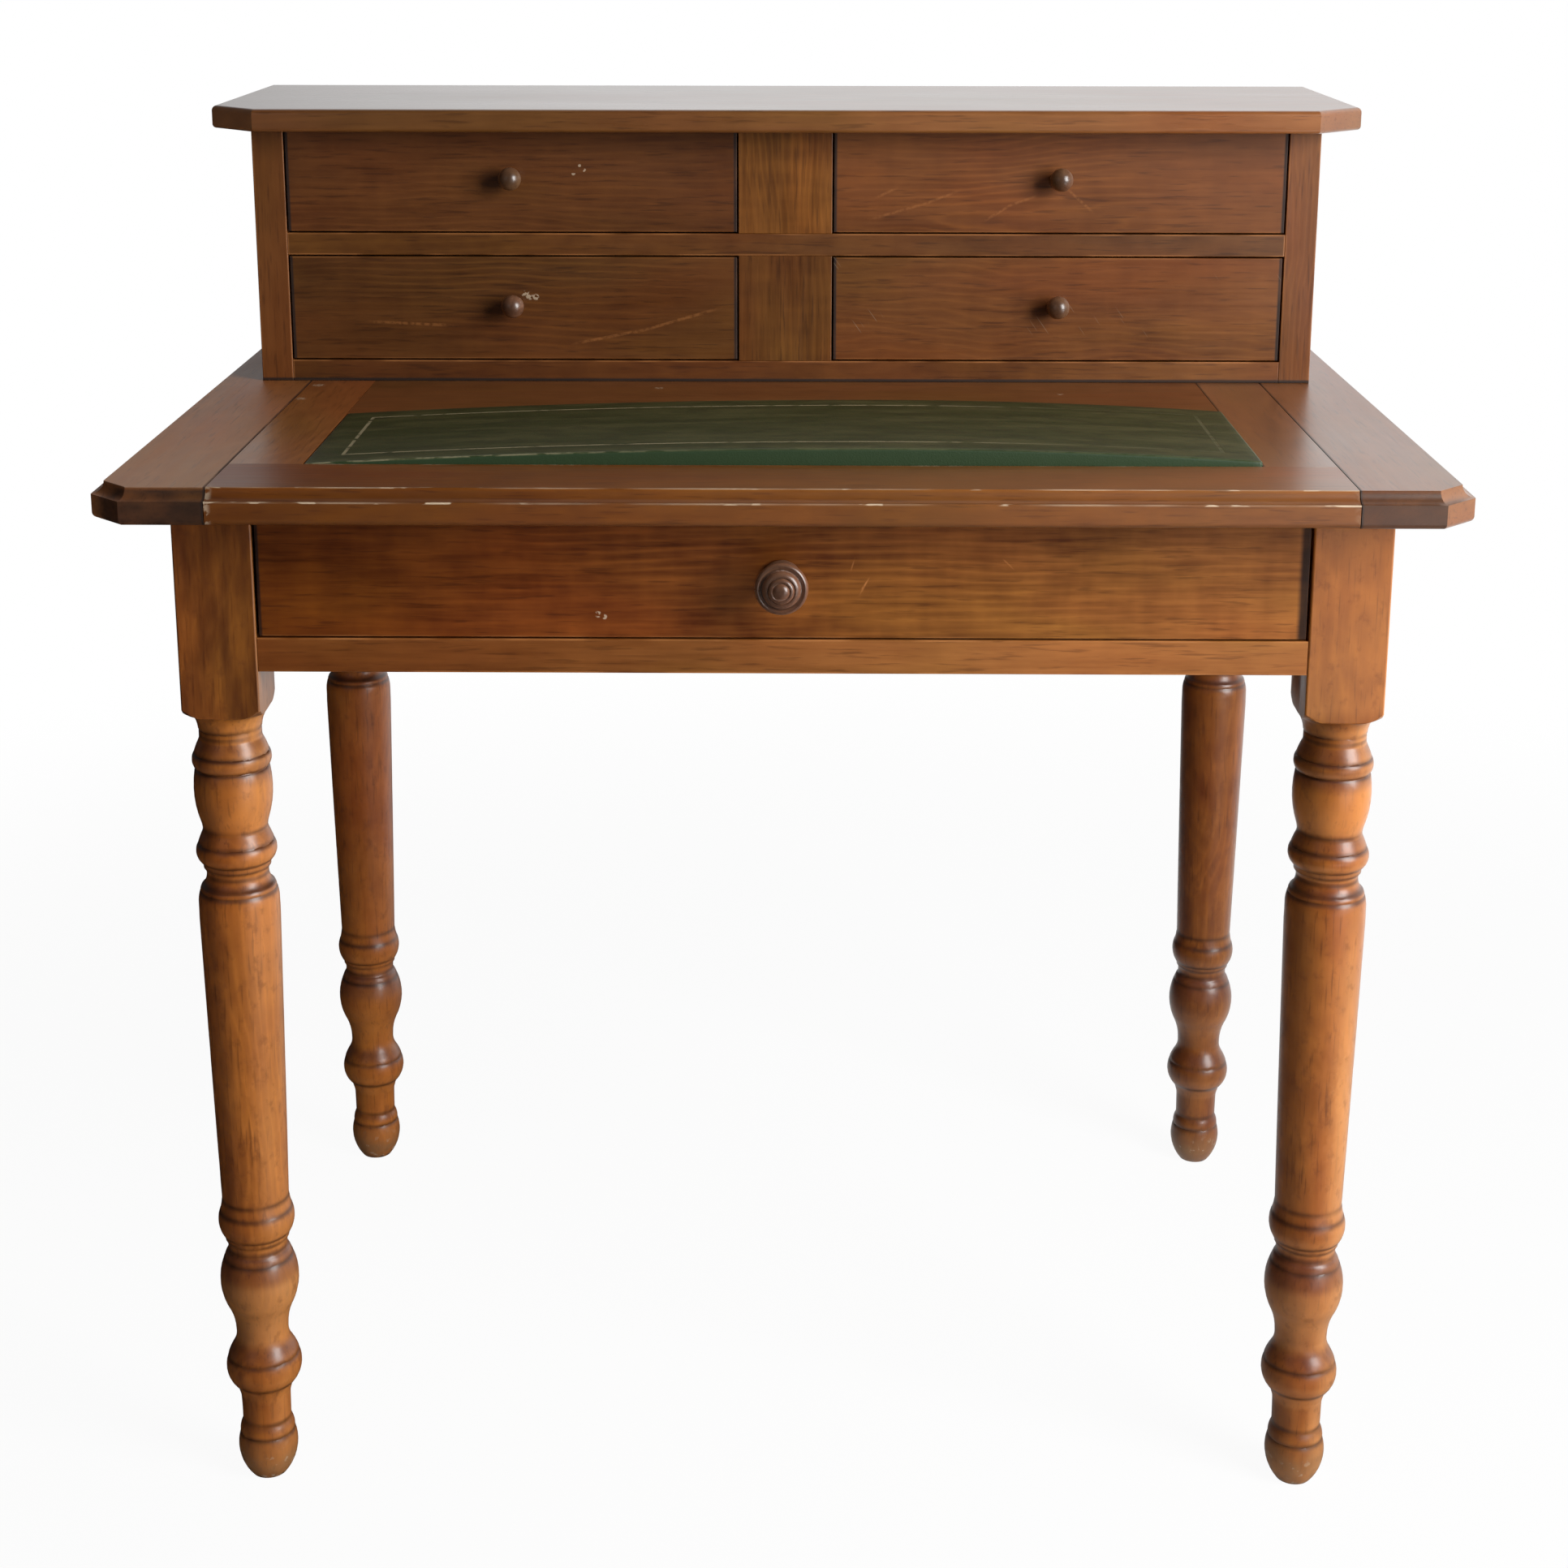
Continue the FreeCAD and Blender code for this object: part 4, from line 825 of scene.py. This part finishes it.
def green_leather():
    """Dark green leather, rubbed brown in places, with a broken gilt line round it and pale scuffs
    with a painted highlight along its rolled front edge.
    """
    tone = bpy.context.scene.desk_leather
    material, finish = new_material("green_leather")
    x, y, z = finish.axes()
    low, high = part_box("leather_pad")
    rubbed = finish.noise(finish.vector(x * 9, y * 60, 0.0), detail=4.0, roughness=0.65)
    shade = finish.mix(rubbed.ramp(0.38, 0.68) * 0.85, opaque(tone.deep), opaque(tone.worn))
    smudge = finish.noise(finish.vector(x * 40, y * 90, 0.0), detail=3.0)
    shade = finish.mix(smudge.ramp(0.54, 0.36) * 0.5, shade, opaque(tone.deep, 0.6))
    upward = finish.facing()[2]
    shade = finish.mix(1 - upward.ramp(0.3, 0.95), shade, opaque(tone.bright))
    side = (x - low.x).lower(high.x - x)
    depth = (y - low.y).lower(high.y - y)
    line = band_round(side.lower(depth), tone.inset, tone.line / 2, 0.0004)
    broken = finish.noise(finish.vector(x * 70, y * 120, 0.0), detail=2.0).ramp(0.34, 0.5)
    kept_gilt = 1 - x.ramp(0.06, 0.20)
    gilt = line * broken * (0.12 + kept_gilt * 0.8)
    shade = finish.mix(gilt, shade, opaque(tone.gilt))
    # Pale scuffs and a painted highlight along the bend of the rolled front edge, most at the left
    bend = upward.ramp(0.35, 0.75) * (1 - upward.ramp(0.90, 0.985))
    crumble = finish.noise(finish.vector(x * 90, y * 300, z * 300), detail=3.0).ramp(0.40, 0.58)
    leftward = 1 - x.ramp(-0.22, -0.02)
    shade = finish.mix(bend * crumble * (0.06 + leftward * 0.5), shade, opaque(tone.gilt, 0.8))
    grain = finish.node("ShaderNodeTexVoronoi", output="Distance",
                        inputs={"Vector": finish.vector(x, y, z), "Scale": 900.0})
    creases = finish.noise(finish.vector(x * 60, y * 60, z * 60), detail=3.0)
    bump = finish.node("ShaderNodeBump", inputs={
        "Strength": 0.35, "Distance": 0.0004, "Height": grain * 0.5 + creases - line * 0.8})
    close_material(finish, {
        "Base Color": shade, "Roughness": 0.42 + rubbed * 0.16 - gilt * 0.12, "Metallic": gilt * 0.15,
        "Normal": bump, "Specular IOR Level": 0.4})
    return material


LEATHER_GRID = (90, 22)
LEATHER_RISE = 0.004


class DESK_OT_leather(Operator):
    """Model the bowed leather writing surface and its gilt line"""
    bl_idname = "desk.leather"
    bl_label = "Writing leather"

    def execute(self, context):
        tone = context.scene.desk_leather
        low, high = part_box("leather_pad")
        middle = (low + high) / 2
        bpy.ops.object.select_all(action="DESELECT")
        bpy.ops.mesh.primitive_grid_add(x_subdivisions=LEATHER_GRID[0], y_subdivisions=LEATHER_GRID[1],
                                        size=1.0, location=(middle.x, middle.y, low.z))
        piece = context.object
        piece.name = "leather_writing_surface"
        piece.scale = (high.x - low.x, high.y - low.y, 1.0)
        bpy.ops.object.transform_apply(location=True, rotation=True, scale=True)
        bpy.ops.object.mode_set(mode="EDIT")
        bpy.ops.mesh.select_all(action="SELECT")
        bpy.ops.mesh.extrude_region_move(TRANSFORM_OT_translate={"value": (0.0, 0.0, LEATHER_RISE)})
        bpy.ops.object.mode_set(mode="OBJECT")
        crest = tone.crest_place
        for vertex in piece.data.vertices:
            if vertex.co.z > low.z + LEATHER_RISE / 2:
                if vertex.co.x < crest:
                    drop = tone.left_drop * ((crest - vertex.co.x) / (crest - low.x)) ** 2
                else:
                    drop = tone.right_drop * ((vertex.co.x - crest) / (high.x - crest)) ** 2
                vertex.co.z = high.z - drop
        bpy.ops.object.mode_set(mode="EDIT")
        bpy.ops.mesh.select_all(action="SELECT")
        bpy.ops.mesh.normals_make_consistent(inside=False)
        bpy.ops.object.mode_set(mode="OBJECT")
        roll = piece.modifiers.new("edge_roll", "BEVEL")
        roll.width = tone.roll
        roll.segments = 4
        roll.limit_method = "ANGLE"
        roll.angle_limit = math.radians(60)
        bpy.ops.object.modifier_apply(modifier=roll.name)
        bpy.ops.object.shade_smooth_by_angle(angle=math.radians(35))
        piece.data.materials.append(green_leather())
        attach(piece, "writing_slide")
        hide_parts("leather_pad")
        return {"FINISHED"}


# Chips, each a place and a radius in metres
UPPER_CHIPS = (((-0.1623, CASE_FRONT, 0.9163), 0.0017), ((-0.1575, CASE_FRONT, 0.9224), 0.0014),
               ((-0.1537, CASE_FRONT, 0.9186), 0.0015))
LOWER_CHIPS = (((-0.1978, CASE_FRONT, 0.8221), 0.0036), ((-0.1930, CASE_FRONT, 0.8212), 0.0028),
               ((-0.2025, CASE_FRONT, 0.8240), 0.0026))
FRIEZE_CHIPS = (((-0.1216, TABLE_FRONT, 0.6606), 0.0026), ((-0.1174, TABLE_FRONT, 0.6589), 0.0020))
SLIDE_CHIPS = (((-0.097, 0.052, TOP_LEVEL), 0.0040), ((0.21, 0.030, TOP_LEVEL), 0.0030))
END_CHIPS = (((-0.364, 0.004, TOP_LEVEL), 0.0050), ((-0.361, 0.060, TOP_LEVEL), 0.0060))
# Pale lines in the figure and scratches, each from one place to another across and up
FRIEZE_LINES = (((0.0454, 0.6900), (0.0485, 0.7009)), ((0.0504, 0.6723), (0.0589, 0.6883)),
                ((0.0521, 0.6773), (0.0569, 0.6847)), ((0.1451, 0.6998), (0.1538, 0.6916)))
FIGURE_LINES = (((0.0630, 0.8812), (0.1100, 0.8945)), ((0.1000, 0.8910), (0.1360, 0.9048)),
                ((0.1500, 0.8790), (0.1760, 0.8948)), ((0.1690, 0.8915), (0.1950, 0.9008)),
                ((0.2120, 0.9085), (0.2380, 0.8855)), ((0.0680, 0.8975), (0.0880, 0.9070)))
LOWER_LINES = (((-0.1700, 0.7835), (-0.1050, 0.7966)), ((-0.1250, 0.7910), (-0.0430, 0.8150)),
               ((-0.3300, 0.8020), (-0.2500, 0.7985)))


class DESK_OT_drawers(Operator):
    """Stain the frieze drawer and the four small drawers"""
    bl_idname = "desk.drawers"
    bl_label = "Drawers"

    def execute(self, context):
        wood = context.scene.desk_wood
        dress(stained_wood("frieze_front_wood", "X", wood.frieze_dark, wood.frieze_light,
                           heart=(-0.18, 0.56), lean=0.04, figure=0.28, streak=1.1, mottle=0.9,
                           curl=0.4, shine=0.25, ends=((0.66, 0.48, 0.16), (1.16, 1.27, 1.75)),
                           marks=(worn_arris("frieze_front", 0.35),
                                  gap_shade_ends("frieze_front", 0.0024, 0.0065),
                                  lines(0.35, 0.0007, *FRIEZE_LINES), chips(*FRIEZE_CHIPS),
                                  specks(0.4, 20.0, 0.3))), "frieze_front")
        # The lower levels of the two left-hand drawers are painted shade, as the light falls off to
        # the left
        looks = {
            "drawer_upper_left": ((0.02, 1.02), 0.02, 0.20, 0.80,
                                  ((1.0, 1.0, 1.0), (0.60, 0.45, 0.25)), chips(*UPPER_CHIPS)),
            "drawer_upper_right": ((0.10, 0.88), 0.06, 0.3, 1.02,
                                   ((1.25, 1.35, 1.6), (0.90, 0.84, 0.70)),
                                   lines(0.2, 0.0014, *FIGURE_LINES)),
            "drawer_lower_left": ((0.11, 0.77), -0.05, 0.35, 0.67,
                                  ((0.98, 1.06, 0.92), (1.04, 1.10, 0.70)), chips(*LOWER_CHIPS),
                                  lines(0.22, 0.0016, *LOWER_LINES)),
            "drawer_lower_right": ((0.00, 0.70), 0.015, 0.20, 1.0,
                                   ((0.85, 0.90, 1.0), (1.0, 1.0, 0.92)), scratches(0.2)),
        }
        for name, (heart, lean, figure, level, ends, *own_marks) in looks.items():
            front = name + "_front"
            marks = (worn_arris(front, 0.28), gap_shade_ends(front), *own_marks, specks(0.4, 22.0))
            dress(stained_wood(front + "_wood", "X", wood.case_dark, wood.case_light, heart=heart,
                               lean=lean, figure=figure, streak=0.6, mottle=0.65, curl=0.2,
                               level=level, ends=ends, marks=marks), front)
        walls = inner_wood("drawer_wall_wood", "Y", (0.0, 0.6))
        floors = inner_wood("drawer_floor_wood", "X", (0.1, 0.4))
        dress(walls, "frieze_side_left", "frieze_side_right", *(name + "_sides" for name in DRAWERS))
        dress(floors, "frieze_back", "frieze_bottom", *(name + "_back" for name in DRAWERS),
              *(name + "_bottom" for name in DRAWERS))
        return {"FINISHED"}


class DESK_OT_knobs(Operator):
    """Set the turned knobs, dark and polished"""
    bl_idname = "desk.knobs"
    bl_label = "Knobs"

    def execute(self, context):
        wood = context.scene.desk_wood
        for name in ("frieze",) + DRAWERS:
            node = name + "_knob"
            low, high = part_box(node)
            middle = (low + high) / 2
            material = stained_wood(node + "_wood", "Y", wood.knob_dark, wood.knob_light,
                                    heart=(middle.x, middle.z), figure=0.3, mottle=0.6, gloss=0.30,
                                    coat=0.5, level=1.4, marks=(specks(0.3, 60.0),))
            body = "frieze_drawer" if name == "frieze" else name
            smooth_copy(node, body, material, 30)
        return {"FINISHED"}


# Stage

FLOOR_SIZE = 30.0
SENSOR_WIDTH = 36.0


def lamp(name, place, aim, width, height, power):
    data = bpy.data.lights.new(name, "AREA")
    data.shape = "RECTANGLE"
    data.size = width
    data.size_y = height
    data.energy = power
    made = bpy.data.objects.new(name, data)
    bpy.context.scene.collection.objects.link(made)
    made.location = place
    made.rotation_euler = (Vector(aim) - Vector(place)).to_track_quat("-Z", "Y").to_euler()


def rays(finish):
    """Whether a ray comes from the camera, and whether from a mirroring or clear surface."""
    seen, glossy, clear = finish.node("ShaderNodeLightPath", output=(
        "Is Camera Ray", "Is Glossy Ray", "Is Transmission Ray"))
    return seen, glossy.higher(clear)


class DESK_OT_stage(Operator):
    """Set the floor, the lamps, the sky and the camera"""
    bl_idname = "desk.stage"
    bl_label = "Stage"

    def execute(self, context):
        studio = context.scene.desk_studio
        bpy.ops.object.select_all(action="DESELECT")
        bpy.ops.mesh.primitive_plane_add(size=FLOOR_SIZE, location=(0.0, 0.0, 0.0))
        floor = context.object
        floor.name = "studio_floor"
        material, finish = new_material("studio_floor_paint")
        seen, mirrored = rays(finish)
        x, y = finish.axes()[:2]
        away = ((x ** 2) + (y ** 2)).ramp(0.5, 4.0)
        behind = y.ramp(-0.4, 0.8)
        shine = 0.006 + x.ramp(-0.2, 0.9) * 0.25 + behind * x.ramp(-0.5, 0.5) * 0.7
        paint = finish.node("ShaderNodeBsdfDiffuse", inputs={"Color": opaque(studio.floor)})
        glow = finish.node("ShaderNodeEmission", inputs={
            "Color": (1, 1, 1, 1), "Strength": seen + mirrored * shine})
        glowing = (seen * (0.95 + away * 0.05)).higher(mirrored)
        surface = finish.node("ShaderNodeMixShader", inputs={0: glowing, 1: paint, 2: glow})
        finish.node("ShaderNodeOutputMaterial", inputs={"Surface": surface})
        floor.data.materials.append(material)
        world = bpy.data.worlds.new("studio_sky")
        world.use_nodes = True
        context.scene.world = world
        finish = Finish(world.node_tree)
        seen, mirrored = rays(finish)
        x, y = finish.axes()[:2]
        right = x.ramp(-0.55, 0.0)
        behind = y.ramp(-0.1, 0.6)
        plain = 1 - seen.higher(mirrored)
        window = x.ramp(0.35, 0.90) * 0.50
        polish = 0.015 + window + behind * (0.05 + right * 0.95)
        light = plain * studio.sky * (0.45 + right) + mirrored * polish
        sky = finish.node("ShaderNodeBackground", inputs={
            "Color": (1, 1, 1, 1), "Strength": seen + light})
        finish.node("ShaderNodeOutputWorld", inputs={"Surface": sky})
        lamp("key_lamp", (1.70, -1.35, 1.40), (0.0, -0.1, 0.6), 1.0, 1.5, studio.key)
        lamp("floor_glow", (1.1, -1.5, 0.03), (0.1, -0.2, 0.45), 1.0, 0.7, studio.glow)
        lamp("fill_lamp", (-1.6, -2.4, 1.5), (0.0, 0.0, 0.5), 1.6, 1.6, studio.fill)
        data = bpy.data.cameras.new("camera")
        camera = bpy.data.objects.new("camera", data)
        context.scene.collection.objects.link(camera)
        camera.location = studio.camera_place
        camera.rotation_euler = studio.camera_turn
        data.sensor_width = SENSOR_WIDTH
        data.lens = studio.lens
        data.shift_x, data.shift_y = studio.shift
        context.scene.camera = camera
        context.scene.view_settings.view_transform = "Standard"
        return {"FINISHED"}


STEPS = (DESK_OT_upper_case, DESK_OT_table, DESK_OT_legs, DESK_OT_writing_slide, DESK_OT_leather,
         DESK_OT_drawers, DESK_OT_knobs, DESK_OT_stage)


class DESK_PT_sidebar(Panel):
    """The desk's pieces and finishes"""
    bl_idname = "DESK_PT_sidebar"
    bl_label = "Bonheur du jour"
    bl_space_type = "VIEW_3D"
    bl_region_type = "UI"
    bl_category = "Desk"

    def draw(self, context):
        for step in STEPS:
            self.layout.operator(step.bl_idname)
        for group in (context.scene.desk_wood, context.scene.desk_leather, context.scene.desk_studio):
            column = self.layout.column()
            for name in group.__annotations__:
                column.prop(group, name)


GROUPS = {"desk_wood": DESK_PG_wood, "desk_leather": DESK_PG_leather, "desk_studio": DESK_PG_studio}


def register():
    for kind in (*GROUPS.values(), *STEPS, DESK_PT_sidebar):
        bpy.utils.register_class(kind)
    for name, kind in GROUPS.items():
        setattr(bpy.types.Scene, name, PointerProperty(type=kind))


def unregister():
    for name in GROUPS:
        delattr(bpy.types.Scene, name)
    for kind in reversed((*GROUPS.values(), *STEPS, DESK_PT_sidebar)):
        bpy.utils.unregister_class(kind)


def main():
    register()
    bpy.ops.desk.upper_case()
    bpy.ops.desk.table()
    bpy.ops.desk.legs()
    bpy.ops.desk.writing_slide()
    bpy.ops.desk.leather()
    bpy.ops.desk.drawers()
    bpy.ops.desk.knobs()
    bpy.ops.desk.stage()


if __name__ == "__main__":
    main()
